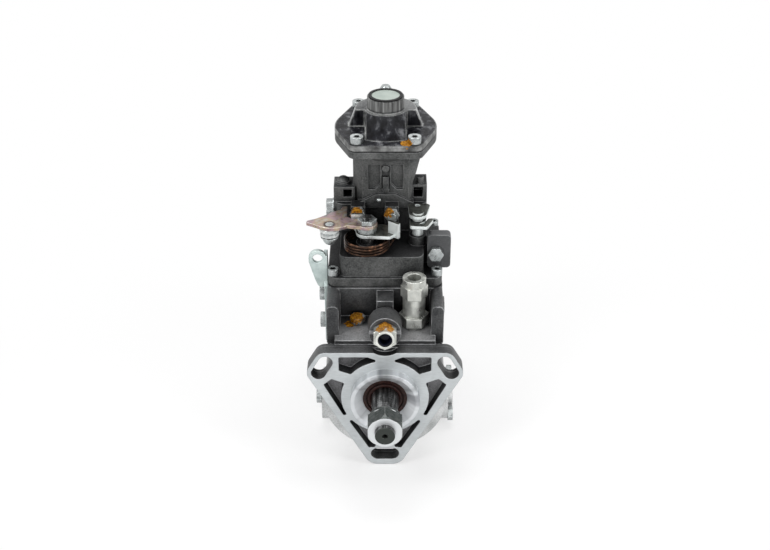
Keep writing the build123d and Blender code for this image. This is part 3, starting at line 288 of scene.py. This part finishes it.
def housing_finish():
    finish = new_finish("housing_alloy", 0.5, specular=0.12)
    here = position(finish)
    x, y, z = split(finish, here)
    rounded_normal = rounded(finish, 0.0011)
    skin = housing_skin(finish, here, y, z)
    # edges paled by wear and a painted highlight
    skin = worn_and_highlit_edges(finish, rounded_normal, 0.75, skin, (0.5, 0.51, 0.52))
    flange_face, pilot_back, pilot_top = 0.0, -0.0002, 0.03
    pilot = sums(finish, "LESS_THAN", y, pilot_back)
    pilot = product(finish, pilot, sums(finish, "LESS_THAN", z, pilot_top))
    cut = sums(finish, "MAXIMUM", plane_mask(finish, 1, flange_face, -1), pilot)
    milling = grain(finish, stretched(finish, here, (1.0, 1.0, 14.0)), 160, 3, 0.6, 0.4)
    smudged = weighed(finish, milling, 0.45, grain(finish, here, 55), 0.55)
    milled = shades(finish, smudged, ((0.3, (0.4, 0.42, 0.43)), (0.62, (0.56, 0.59, 0.6))))
    # cut metal, with a painted sheen on the pilot
    bright = blend(finish, pilot, milled, pilot_sheen(finish, x, z))
    rough_normal = cast_relief(finish, here, rounded_normal)
    cut_normal = relief(finish, milling, 0.12, rounded_normal)
    normal = blend(finish, cut, rough_normal, cut_normal, "VECTOR")
    apply_look(finish, blend(finish, cut, skin, bright), normal)
    for name, cast_value, cut_value in (("Metallic", 0.45, 0.55), ("Roughness", 0.46, 0.36)):
        join(finish, blend(finish, cut, cast_value, cut_value, "FLOAT"), shader_input(finish, name))
    return finish


def dress(names, finish):
    """Gives a finish to nodes of the frame."""
    for name in names:
        mesh = nodes[name].data
        mesh.materials.clear()
        mesh.materials.append(finish)


housing_alloy = housing_finish()
dress(["pump_housing", "timing_covers"], housing_alloy)


# Governor cover and its gasket: the same light alloy from a second mould, darkened by painted
# shade where it faces up and in its hollows. Its edges are pale, from wear and a painted
# highlight.
def cover_finish():
    finish = new_finish("cover_alloy", 0.5, 0.4, 0.12)
    here = position(finish)
    rounded_normal = rounded(finish, 0.0011)
    skin = cast_colour(finish, here, (0.032, 0.034, 0.034), (0.15, 0.152, 0.15))
    upward = spread(finish, facing(finish)[2], 0.6, 0.95)
    # painted shade on the faces that look up, under the parts above them
    upward_shade_tone = cast_colour(finish, here, (0.008, 0.008, 0.009), (0.055, 0.056, 0.058))
    skin = blend(finish, product(finish, upward, 0.85), skin, upward_shade_tone)
    # painted shade in hollows
    skin = blend(finish, painted_hollow_shade(finish, 0.02), (0.008, 0.008, 0.009), skin)
    # edges paled by wear and a painted highlight
    skin = worn_and_highlit_edges(finish, rounded_normal, 0.45, skin, (0.34, 0.35, 0.35))
    apply_look(finish, skin, cast_relief(finish, here, rounded_normal))
    return finish


dress(["governor_cover", "cover_gasket"], cover_finish())


# Boost compensator cover: a dished die casting with a glossy near-black coat, streaked with
# painted highlights. Its rim and top collar are rubbed to bare metal and look pale; the plateau
# is paler, the ribs' flanks carry a painted highlight, and painted shade darkens it below the rim.
def pale_top_and_highlights(finish, here, rounded_normal, black):
    """Pales the plateau, paints a highlight along the ribs' flanks, and pales the edges by wear and a
    painted highlight.
    """
    _, y, z = split(finish, here)
    side, _, up = facing(finish)
    plateau_foot, plateau_full, ribs_front, ribs_full = 0.1715, 0.174, 0.1055, 0.107
    upward = spread(finish, up, 0.75, 0.95)
    plateau = product(finish, upward, spread(finish, z, plateau_foot, plateau_full))
    plateau_tone = cast_colour(finish, here, (0.05, 0.051, 0.053), (0.24, 0.245, 0.245))
    black = blend(finish, plateau, black, plateau_tone)
    # painted highlight along the ribs' sloped flanks
    sideways = spread(finish, sums(finish, "ABSOLUTE", side), 0.3, 0.5)
    leaning = sums(finish, "SUBTRACT", spread(finish, up, 0.15, 0.3), upward, clamp=True)
    flank_highlight = product(finish, sideways, leaning, spread(finish, y, ribs_front, ribs_full), 0.8)
    black = blend(finish, flank_highlight, black, (0.42, 0.43, 0.43))
    # edges paled by wear and a painted highlight
    return worn_and_highlit_edges(finish, rounded_normal, 0.8, black, (0.56, 0.57, 0.56))


def boost_finish():
    finish = new_finish("boost_coat", 0.26, specular=0.08)
    here = position(finish)
    z = split(finish, here)[2]
    rounded_normal = rounded(finish, 0.002)
    # painted highlights: soft streaks running up and down the coat
    highlight_streaks = grain(finish, stretched(finish, here, (1.0, 0.7, 0.05)), 210, 3, 0.55)
    spots = grain(finish, here, 130)
    coat_and_highlight_stops = ((0.42, (0.003, 0.003, 0.004)), (0.54, (0.018, 0.0185, 0.022)),
                  (0.65, (0.13, 0.133, 0.14)))
    black = shades(finish, weighed(finish, highlight_streaks, 0.6, spots, 0.4), coat_and_highlight_stops)
    black = pale_top_and_highlights(finish, here, rounded_normal, black)
    collar_foot, collar_full, rim_top, rim_full = 0.1795, 0.1815, 0.16585, 0.1656
    rim = spread(finish, z, rim_top, rim_full)
    pale_metal = sums(finish, "MAXIMUM", spread(finish, z, collar_foot, collar_full), rim)
    cuts = grain(finish, stretched(finish, here, (1.0, 1.0, 0.04)), 420)
    cuts = blend(finish, rim, cuts, sums(finish, "MULTIPLY_ADD", spots, 0.8, 0.1), "FLOAT")
    bare_tone = shades(finish, cuts, ((0.36, (0.05, 0.05, 0.05)), (0.5, (0.15, 0.152, 0.15)),
                                      (0.66, (0.34, 0.345, 0.34))))
    # painted shade below the rim: the cover goes near black under it
    rim_shade_top, rim_shade_full = 0.1622, 0.1616
    tone = blend(finish, pale_metal, black, bare_tone)
    tone = blend(finish, spread(finish, z, rim_shade_top, rim_shade_full), tone, (0.008, 0.008, 0.009))
    apply_look(finish, tone, cast_relief(finish, here, rounded_normal))
    join(finish, blend(finish, pale_metal, 0.24, 0.4, "FLOAT"), shader_input(finish, "Roughness"))
    return finish


boost_coat = boost_finish()
dress(["boost_cover"], boost_coat)


# Cap disc and its ring: a grey-green pressed disc, stamped and lightly brushed, held down by
# a black rubber ring in the collar. The other rings and the diaphragm are the same rubber.
def disc_finish():
    finish = new_finish("disc_grey", 0.42, 0.2)
    here = position(finish)
    brushed = grain(finish, stretched(finish, here, (1.0, 18.0, 1.0)), 240)
    mottled = weighed(finish, brushed, 0.4, grain(finish, here, 90, 2, 0.5), 0.6)
    tone = shades(finish, mottled, ((0.3, (0.27, 0.32, 0.29)), (0.7, (0.4, 0.45, 0.41))))
    apply_look(finish, tone, relief(finish, brushed, 0.1, rounded(finish, 0.0005)))
    return finish


def grained(finish, scale, detail, rough, stops, strength, radius=None):
    """Colours a finish by one fine grain, and raises the same grain a little."""
    speck = grain(finish, position(finish), scale, detail, rough)
    under = rounded(finish, radius) if radius else None
    apply_look(finish, shades(finish, speck, stops), relief(finish, speck, strength, under))


dress(["boost_cap"], disc_finish())
rubber_stops = ((0.35, (0.006, 0.006, 0.006)), (0.7, (0.024, 0.024, 0.025)))
black_rubber = new_finish("black_rubber", 0.55, specular=0.15)
grained(black_rubber, 1400, 3, 0.6, rubber_stops, 0.25, 0.0005)
dress(["rubber_rings", "boost_diaphragm"], black_rubber)


# Drive shaft: hardened steel, ground on the taper with fine rings, with a dark oiled finish
# on the threaded end. The nut is phosphated, its front face turned bright. The pieces inside
# the pump are of the same steel.
def shaft_finish():
    finish = new_finish("shaft_steel", 0.3, 0.9)
    here = position(finish)
    rings = grain(finish, stretched(finish, here, (0.05, 1.0, 0.05)), 2600, 2)
    # dark and light streaks along the shaft's length
    lengthwise_streaks = grain(finish, stretched(finish, here, (1.0, 0.06, 1.0)), 420)
    steel_stops = ((0.4, (0.012, 0.012, 0.012)), (0.52, (0.1, 0.1, 0.1)), (0.62, (0.42, 0.425, 0.42)))
    steel = shades(finish, weighed(finish, rings, 0.35, lengthwise_streaks, 0.65), steel_stops)
    thread_start, thread_full = -0.0435, -0.0445
    oiled = spread(finish, split(finish, here)[1], thread_start, thread_full)
    steel = blend(finish, oiled, steel, (0.045, 0.05, 0.046))
    apply_look(finish, steel, relief(finish, rings, 0.2, rounded(finish, 0.0005)))
    return finish


def nut_finish():
    finish = new_finish("nut_steel", 0.4, 0.75)
    rounded_normal = rounded(finish, 0.0007)
    mottle = grain(finish, position(finish), 420)
    sides = shades(finish, mottle, ((0.32, (0.045, 0.052, 0.05)), (0.7, (0.12, 0.13, 0.125))))
    # edges paled by wear and a painted highlight
    sides = worn_and_highlit_edges(finish, rounded_normal, 0.7, sides, (0.5, 0.52, 0.52))
    front = spread(finish, facing(finish)[1], -0.5, -0.62)
    tone = blend(finish, front, sides, (0.66, 0.68, 0.69))
    apply_look(finish, tone, relief(finish, mottle, 0.15, rounded_normal))
    return finish


flyweights = ["flyweight_" + str(number) for number in range(1, 5)]
inner_steel = ["supply_pump_ring", "supply_pump_cover", "supply_pump_rotor", "governor_shaft",
               "governor_gear", "governor_drive_gear", "governor_sleeve", "governor_lever",
               "governor_spring", "spill_collar", "roller_ring", "rollers_and_timing_pin",
               "cam_plate", "distributor_plunger", "plunger_springs", "timing_piston",
               "timing_spring", "boost_guide_pin", "boost_top_plate", "boost_spring",
               "stop_armature", "armature_spring", "valve_spool", "valve_spring",
               "lever_pivot_screws", "control_shaft"]
dress(["drive_shaft"] + flyweights + inner_steel, shaft_finish())
dress(["shaft_nut_and_key"], nut_finish())


# Shaft seal and bush: moulded red-brown seal rubber round the shaft, pressed into the pilot
# bore, with a lip that rubs on the shaft. A bronze bush carries the shaft behind it.
def turned(name, profile, place, direction, steps=64):
    """A piece turned from (radius, height) points about its own axis, in metres."""
    mesh = bpy.data.meshes.new(name)
    shape = bmesh.new()
    rows = []
    for step in range(steps):
        angle = 2 * math.pi * step / steps
        rows.append([shape.verts.new((r * math.cos(angle), r * math.sin(angle), h)) for r, h in profile])
    for first, second in zip(rows, rows[1:] + rows[:1]):
        for index in range(len(profile) - 1):
            shape.faces.new((first[index], second[index], second[index + 1], first[index + 1]))
    bmesh.ops.remove_doubles(shape, verts=shape.verts, dist=0.000001)
    bmesh.ops.recalc_face_normals(shape, faces=shape.faces)
    shape.to_mesh(mesh)
    shape.free()
    mesh.polygons.foreach_set("use_smooth", [True] * len(mesh.polygons))
    piece = bpy.data.objects.new(name, mesh)
    bpy.context.scene.collection.objects.link(piece)
    piece.rotation_mode = "QUATERNION"
    piece.rotation_quaternion = Vector(direction).to_track_quat("Z", "Y")
    piece.location = place
    softened = piece.modifiers.new("soft_edges", "BEVEL")
    softened.width = 0.00012
    softened.segments = 2
    softened.limit_method = "ANGLE"
    softened.angle_limit = math.radians(40)
    return piece


def ride_on(piece, finish, body):
    piece.data.materials.append(finish)
    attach(piece, body)


seal_stops = ((0.35, (0.009, 0.004, 0.0035)), (0.7, (0.045, 0.015, 0.011)))
seal_rubber = new_finish("seal_rubber", 0.45, specular=0.2)
grained(seal_rubber, 900, 3, 0.6, seal_stops, 0.3, 0.0006)
dress(["shaft_seal"], seal_rubber)
lip_profile = [(0.0102, 0.0), (0.0106, -0.0008), (0.0121, -0.0011), (0.0128, -0.0003),
               (0.0122, 0.0009), (0.0108, 0.0012), (0.0102, 0.0)]
seal_lip = turned("seal_lip", lip_profile, (0, -0.0012, 0), (0, 1, 0))
ride_on(seal_lip, seal_rubber, "pump")
bronze_stops = ((0.3, (0.25, 0.15, 0.07)), (0.7, (0.55, 0.38, 0.2)))
bearing_bronze = new_finish("bearing_bronze", 0.35, 0.9)
grained(bearing_bronze, 300, 3, 0.6, bronze_stops, 0.1)
dress(["shaft_bush"], bearing_bronze)


# Distributor head: an iron flange and boss, machined all over and oiled, bolted to the rear
# of the housing. It is a little darker than the alloy, with painted shade in its hollows, and
# painted paler at its foot as a reflection of the white surroundings.
def head_finish():
    finish = new_finish("head_iron", 0.42, 0.6)
    here = position(finish)
    rounded_normal = rounded(finish, 0.0009)
    mottle = grain(finish, here, 260, 4, 0.65)
    tone = shades(finish, mottle, ((0.3, (0.07, 0.072, 0.075)), (0.7, (0.19, 0.195, 0.2))))
    # painted shade in hollows
    tone = blend(finish, painted_hollow_shade(finish), (0.015, 0.015, 0.016), tone)
    pale_reflection_tone = shades(finish, mottle, ((0.3, (0.28, 0.285, 0.285)), (0.7, (0.6, 0.61, 0.61))))
    # painted reflection: paler towards the foot
    reflection_top, reflection_foot = 0.005, -0.015
    tone = blend(finish, spread(finish, split(finish, here)[2], reflection_top, reflection_foot), tone, pale_reflection_tone)
    # edges paled by wear and a painted highlight
    tone = worn_and_highlit_edges(finish, rounded_normal, 0.6, tone, (0.6, 0.61, 0.62))
    apply_look(finish, tone, relief(finish, mottle, 0.2, rounded_normal, 0.0002))
    return finish


dress(["distributor_head"], head_finish())


# Amber sealing lacquer: brushed over the set screws and plugs at the works, so that a screw
# which has been turned shows a cracked seal. It lies thick, runs at the edge and shines.
def distance(finish, vector, place):
    away = add(finish, "ShaderNodeVectorMath", operation="DISTANCE")
    join(finish, vector, away.inputs[0])
    away.inputs[1].default_value = place
    return away.outputs["Value"]


def lacquer(finish, spots):
    """Brushes amber over the places given as (x, y, z, reach) in metres."""
    here = position(finish)
    wobble = sums(finish, "SUBTRACT", grain(finish, here, 330), 0.5)
    cover = 0.0
    for x, y, z, reach in spots:
        away = distance(finish, here, (x, y, z))
        ragged = sums(finish, "MULTIPLY_ADD", wobble, 1.1 * reach, away)
        cover = sums(finish, "MAXIMUM", spread(finish, ragged, reach, 0.9 * reach), cover)
    amber_stops = ((0.3, (0.08, 0.03, 0.002)), (0.48, (0.3, 0.12, 0.006)), (0.66, (0.52, 0.24, 0.016)))
    amber = shades(finish, grain(finish, here, 700, 2, 0.5), amber_stops)
    wet = (("Base Color", amber, "RGBA"), ("Roughness", 0.22, "FLOAT"), ("Metallic", 0.0, "FLOAT"))
    for name, value, kind in wet:
        socket = shader_input(finish, name)
        before = socket.links[0].from_socket if socket.links else socket.default_value
        join(finish, blend(finish, cover, before, value, kind), socket)


lacquer(housing_alloy, [(-0.0255, 0.033, 0.042, 0.0045)])
lacquer(boost_coat, [(0.0155, 0.0765, 0.166, 0.005)])


# Screws, bolts, unions and valve body: turned steel with thin bright zinc. The plating is
# blue-white, with painted shade in the corners and edges paled by wear and a painted highlight.
# The valve has a blue plastic cup pressed into its end.
def plated(name, dark, light, roughness, metallic=0.8):
    finish = new_finish(name, roughness, metallic)
    here = position(finish)
    rounded_normal = rounded(finish, 0.0006)
    cloud = grain(finish, here, 160)
    fine = grain(finish, here, 1500, 2)
    tone = shades(finish, weighed(finish, cloud, 0.7, fine, 0.3), ((0.32, dark), (0.68, light)))
    # painted shade for the corners, and a pale edge colour for wear and painted highlight
    corner_shade = tuple(0.25 * part for part in dark)
    worn_and_lit_edge_tone = tuple(min(1, 1.3 * part) for part in light)
    tone = blend(finish, painted_hollow_shade(finish, 0.005), corner_shade, tone)
    tone = worn_and_highlit_edges(finish, rounded_normal, 0.6, tone, worn_and_lit_edge_tone)
    apply_look(finish, tone, relief(finish, fine, 0.15, rounded_normal))
    clouded = spread(finish, cloud, 0.3, 0.7, roughness - 0.08, roughness + 0.12)
    join(finish, clouded, shader_input(finish, "Roughness"))
    return finish


def lay_over(finish, share, colour):
    """Lays a colour over the one that the finish has so far."""
    base = shader_input(finish, "Base Color")
    join(finish, blend(finish, share, base.links[0].from_socket, colour), base)


def shaded_thread_grooves(finish, front, back, low, runout=0.0004):
    """Painted shade in thread grooves, one to the millimetre, on shanks between two places along the
    pump.
    """
    one_to_the_millimetre = 6283.0
    _, y, z = split(finish, position(finish))
    shank = product(finish, spread(finish, y, back, back - runout),
                    spread(finish, y, front, front + runout), sums(finish, "GREATER_THAN", z, low))
    wave = sums(finish, "SINE", product(finish, y, one_to_the_millimetre))
    lay_over(finish, product(finish, shank, spread(finish, wave, 0.1, -0.6)), (0.01, 0.01, 0.01))


zinc_screw = plated("zinc_screw", (0.2, 0.215, 0.215), (0.56, 0.59, 0.59), 0.28)
shaded_thread_grooves(zinc_screw, 0.06, 0.0735, 0.1055)
lacquer(zinc_screw, [(-0.021, 0.035, 0.0475, 0.0062), (-0.021, 0.0735, 0.112, 0.005),
                     (0.0025, 0.074, 0.112, 0.0042), (0.0175, 0.0765, 0.1665, 0.0035)])
dress(["hex_bolts", "socket_screws", "speed_stop_screws", "head_bolts", "stop_solenoid",
       "boost_nipple"], zinc_screw)
zinc_union = plated("zinc_union", (0.42, 0.43, 0.4), (0.7, 0.71, 0.67), 0.33)
lacquer(zinc_union, [(0.0, 0.0075, 0.0605, 0.0068), (-0.004, 0.004, 0.0595, 0.0045),
                     (0.004, 0.004, 0.0595, 0.0045)])
dress(["inlet_union", "return_union", "regulating_valve"], zinc_union)
plastic_stops = ((0.35, (0.002, 0.002, 0.004)), (0.7, (0.004, 0.007, 0.025)))
blue_plastic = new_finish("blue_plastic", 0.45, specular=0.2)
grained(blue_plastic, 500, 2, 0.5, plastic_stops, 0.1)
valve_lean = math.radians(8)
valve_axis = Vector((0, -math.cos(valve_lean), math.sin(valve_lean)))
valve_seat = Vector((0, 0.0089, 0.0498))
cup_profile = [(0.0, 0.0006), (0.0038, 0.0006), (0.0043, 0.0011), (0.0043, 0.0079),
               (0.0047, 0.0083), (0.0051, 0.0079), (0.0051, 0.0001), (0.0, 0.0001)]
valve_cup = turned("valve_cup", cup_profile, valve_seat + 0.002 * valve_axis, valve_axis)
ride_on(valve_cup, blue_plastic, "pump")
dark_fitting = plated("dark_fitting", (0.09, 0.095, 0.1), (0.24, 0.25, 0.26), 0.38)
dress(["head_fittings"], dark_fitting)

# Brackets: a pressed steel arm in pale teal zinc on the left, and a thick dark cast block on
# the right that carries the cable end.
bracket_zinc = plated("bracket_zinc", (0.4, 0.48, 0.47), (0.64, 0.72, 0.7), 0.38, 0.6)
dress(["cable_bracket"], bracket_zinc)
block_coat = new_finish("block_coat", 0.5, 0.2)
block_place = position(block_coat)
block_normal = rounded(block_coat, 0.001)
block_tone = cast_colour(block_coat, block_place, (0.03, 0.031, 0.033), (0.075, 0.077, 0.08))
# edges paled by wear and a painted highlight
block_tone = worn_and_highlit_edges(block_coat, block_normal, 0.7, block_tone, (0.34, 0.35, 0.35))
apply_look(block_coat, block_tone, cast_relief(block_coat, block_place, block_normal))
dress(["support_bracket"], block_coat)

# Levers: stamped plate with a passivated zinc that turns pink, yellow and pale green with
# the thickness of the film. The control plate below is duller and darker than the arm. A
# white plastic collar and two wire clips hold the joint at the arm's end.
joint_x, joint_y, joint_top, eye_z = -0.04, 0.058, 0.1087, 0.111


def lever_finish():
    finish = new_finish("lever_zinc", 0.3, 0.85)
    here = position(finish)
    rounded_normal = rounded(finish, 0.0005)
    film = grain(finish, here, 120, 3, 0.55, 0.8)
    tone = shades(finish, film, ((0.3, (0.24, 0.25, 0.23)), (0.43, (0.4, 0.27, 0.3)),
                                 (0.54, (0.42, 0.33, 0.22)), (0.68, (0.46, 0.44, 0.43))))
    smear = grain(finish, here, 210, 4, 0.65)
    tone = blend(finish, spread(finish, smear, 0.5, 0.68, 0.0, 0.75), tone, (0.13, 0.09, 0.085))
    from_eye = distance(finish, here, (joint_x, joint_y, eye_z))
    greasy = spread(finish, sums(finish, "MULTIPLY_ADD", smear, 0.005, from_eye), 0.0078, 0.0058)
    tone = blend(finish, greasy, tone, (0.035, 0.02, 0.018))
    # edges paled by wear and a painted highlight
    tone = worn_and_highlit_edges(finish, rounded_normal, 0.6, tone, (0.82, 0.82, 0.78))
    scratches = grain(finish, stretched(finish, here, (1.0, 9.0, 1.0)), 420)
    apply_look(finish, tone, relief(finish, scratches, 0.12, rounded_normal))
    return finish


def bent_wire(name, points, thickness, cyclic=False):
    """Round wire bent through the points, in metres."""
    path = bpy.data.curves.new(name, "CURVE")
    path.dimensions = "3D"
    path.bevel_depth = thickness
    path.bevel_resolution = 4
    line = path.splines.new("NURBS")
    line.points.add(len(points) - 1)
    for point, place in zip(line.points, points):
        point.co = (*place, 1)
    line.order_u = 4
    line.use_endpoint_u = not cyclic
    line.use_cyclic_u = cyclic
    line.resolution_u = 8
    piece = bpy.data.objects.new(name, path)
    bpy.context.scene.collection.objects.link(piece)
    return piece


def round_joint(radius, angle, height):
    """A place at a distance and angle from the axis of the throttle joint."""
    return joint_x + radius * math.cos(angle), joint_y + radius * math.sin(angle), height


dress(["throttle_arm"], lever_finish())
plate_zinc = plated("plate_zinc", (0.016, 0.018, 0.016), (0.13, 0.135, 0.12), 0.34, 0.6)
sheared = spread(plate_zinc, sums(plate_zinc, "ABSOLUTE", facing(plate_zinc)[2]), 0.5, 0.3)
lay_over(plate_zinc, sheared, (0.72, 0.76, 0.75))
dress(["control_lever", "stop_lever"], plate_zinc)
dress(["throttle_arm_fittings"], zinc_screw)
collar_stops = ((0.3, (0.42, 0.44, 0.44)), (0.7, (0.68, 0.7, 0.69)))
collar_white = new_finish("collar_white", 0.3)
grained(collar_white, 350, 2, 0.5, collar_stops, 0.1)
collar_profile = [(0.003, 0.0), (0.0062, 0.0), (0.0072, -0.0008), (0.0072, -0.0022),
                  (0.0058, -0.0029), (0.0058, -0.0038), (0.0068, -0.0045), (0.0068, -0.0058),
                  (0.005, -0.0068), (0.003, -0.0068)]
joint_collar = turned("joint_collar", collar_profile, (joint_x, joint_y, joint_top - 0.0001), (0, 0, 1))
ride_on(joint_collar, collar_white, "throttle")
clip_radius, clip_wire = 0.0064, 0.0005
for number, drop in enumerate((0.0033, 0.0074)):
    ring = [round_joint(clip_radius, step * math.pi / 6, joint_top - drop) for step in range(12)]
    clip = bent_wire("joint_clip_" + str(number), ring, clip_wire, True)
    ride_on(clip, zinc_screw, "throttle")

# Return spring: hard-drawn wire with a copper-brown heat colour and an oily shine, coiled
# round the lever shaft. One leg lies along the cover's deck, the other stands up to the arm.
copper_stops = ((0.36, (0.01, 0.006, 0.004)), (0.55, (0.04, 0.02, 0.012)), (0.7, (0.22, 0.11, 0.062)))
copper_wire = new_finish("copper_wire", 0.3, 0.85)
grained(copper_wire, 260, 3, 0.6, copper_stops, 0.15)
spring_x, spring_y = -0.013, 0.06
wire_radius, coil_radius, coil_turns, steps_each_turn = 0.00098, 0.0161, 4, 20
coil_low, coil_high, coil_start = 0.0912, 0.1, 0.1


def coil_point(step):
    """A place on the coil, which climbs evenly as it turns."""
    share = step / (coil_turns * steps_each_turn)
    angle = coil_start + 2 * math.pi * coil_turns * share
    return (spring_x + coil_radius * math.cos(angle), spring_y + coil_radius * math.sin(angle),
            coil_low + (coil_high - coil_low) * share)


foot_points = [(0.0075, 0.0735, coil_low), (0.006, 0.071, coil_low), (0.0042, 0.066, coil_low)]
coil_points = [coil_point(step) for step in range(coil_turns * steps_each_turn + 1)]
hook_points = [(0.0036, 0.0655, 0.1003), (0.0034, 0.0685, 0.1018), (0.0032, 0.0695, 0.1045),
               (0.0024, 0.0688, 0.1062)]
wire_line = bent_wire("return_line", foot_points + coil_points + hook_points, wire_radius)
return_wire = bpy.data.objects.new("return_wire", bpy.data.meshes.new_from_object(wire_line))
bpy.context.scene.collection.objects.link(return_wire)
bpy.data.objects.remove(wire_line)
return_wire.data.materials.append(copper_wire)
for face in return_wire.data.polygons:
    face.use_smooth = True
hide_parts("throttle_return_spring")
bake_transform(return_wire)


# Inner springs: wound round-wire steel. Each coil is a copy of the solid's own shape, held
# on the pump in the solid's place.
def squeezed(node):
    """A copy of a CAD spring's coil, which rides on the pump in place of the hidden solid."""
    coil = bpy.data.objects.new(node + "_coil", nodes[node].data.copy())
    bpy.context.scene.collection.objects.link(coil)
    coil.matrix_world = nodes[node].matrix_world.copy()
    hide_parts(node)
    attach(coil, "pump")
    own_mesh(coil)


squeezed("timing_spring")
squeezed("boost_spring")
squeezed("armature_spring")
squeezed("valve_spring")

# Ball plug: a small hard steel ball that closes a drilled passage at the foot of the neck.
# It is pressed in, and stands a little proud of the casting.
ball_radius, ball_steps = 0.002, 12
ball_angles = [step * math.pi / ball_steps for step in range(ball_steps + 1)]
ball_profile = [(ball_radius * math.sin(angle), -ball_radius * math.cos(angle)) for angle in ball_angles]
ball_plug = turned("ball_plug", ball_profile, (-0.0046, 0.0858, 0.1165), (0, -1, 0))
ride_on(ball_plug, zinc_screw, "pump")


# Floor and backdrop: a pale sheet of paper that catches the pump's shadow near it and glows
# plain white further out, as the white all round does.
def seen_rays(surface):
    """One for the rays that show the sheet itself: camera, gloss and glass."""
    paths = add(surface, "ShaderNodeLightPath")
    seen = sums(surface, "MAXIMUM", paths.outputs["Is Camera Ray"], paths.outputs["Is Glossy Ray"])
    return sums(surface, "MAXIMUM", seen, paths.outputs["Is Transmission Ray"])


def show_between(surface, share, lit, glowing, last_node):
    """Mixes two shaders by a share and sends them to the last node."""
    mix = add(surface, "ShaderNodeMixShader")
    for source, socket in zip((share, lit.outputs[0], glowing.outputs[0]), mix.inputs):
        join(surface, source, socket)
    join(surface, mix.outputs[0], surface.node_tree.nodes[last_node].inputs["Surface"])


floor_gap, pump_middle_y = 0.0005, 0.06
floor_z = solids_low.z - floor_gap
bpy.ops.mesh.primitive_plane_add(size=8, location=(0, 0, floor_z))
floor = bpy.context.object
floor.name = "pale_floor"
floor_white = new_finish("floor_white", 0.9)
shader_input(floor_white, "Base Color").default_value = (0.93, 0.93, 0.93, 1)
floor_place = add(floor_white, "ShaderNodeNewGeometry").outputs["Position"]
shadow_reach, white_reach, shadow_glow = 0.12, 0.36, 0.6
glow_share = spread(floor_white, distance(floor_white, floor_place, (0, pump_middle_y, floor_z)),
                    shadow_reach, white_reach, shadow_glow, 1.0)
glow_share = product(floor_white, glow_share, seen_rays(floor_white))
lit_sheet = floor_white.node_tree.nodes["Principled BSDF"]
glowing_sheet = add(floor_white, "ShaderNodeEmission", Strength=1.0)
show_between(floor_white, glow_share, lit_sheet, glowing_sheet, "Material Output")
floor.data.materials.append(floor_white)
world = bpy.data.worlds.new("studio")
bpy.context.scene.world = world
world.use_nodes = True
backdrop = world.node_tree.nodes["Background"]
backdrop.inputs["Color"].default_value = (1, 1, 1, 1)
backdrop.inputs["Strength"].default_value = 0.22
white = add(world, "ShaderNodeBackground", Color=(1, 1, 1, 1), Strength=1.0)
show_between(world, seen_rays(world), backdrop, white, "World Output")


# Lamps and camera: four soft boxes round the pump, and the photograph's steep front view,
# taken from two thirds of a metre in front of the flange and half a metre above the shaft.
def soft_box(name, place, aim, size, power):
    lamp = bpy.data.lights.new(name, "AREA")
    lamp.shape = "RECTANGLE"
    lamp.size, lamp.size_y = size
    lamp.energy = power
    holder = bpy.data.objects.new(name, lamp)
    bpy.context.scene.collection.objects.link(holder)
    holder.location = place
    holder.rotation_euler = (Vector(aim) - Vector(place)).to_track_quat("-Z", "Y").to_euler()


centre = (0, pump_middle_y, 0.06)
soft_box("key_left", (-0.7, -0.5, 0.75), centre, (0.35, 0.6), 5.5)
soft_box("fill_right", (0.8, -0.35, 0.5), centre, (0.35, 0.6), 4.5)
soft_box("top_back", (0.0, 0.35, 1.0), centre, (0.9, 0.5), 7.5)
soft_box("low_front", (0.0, -0.95, 0.1), centre, (0.7, 0.3), 1.8)

degrees_down = 30.7
photo_camera = bpy.data.cameras.new("photo_camera")
photo_camera.lens = 53.3
photo_camera.sensor_width = 36
camera = bpy.data.objects.new("photo_camera", photo_camera)
bpy.context.scene.collection.objects.link(camera)
camera.location = (0, -0.665, 0.498)
camera.rotation_euler = (math.radians(90 - degrees_down), 0, 0)
bpy.context.scene.camera = camera
bpy.context.scene.view_settings.view_transform = "Standard"
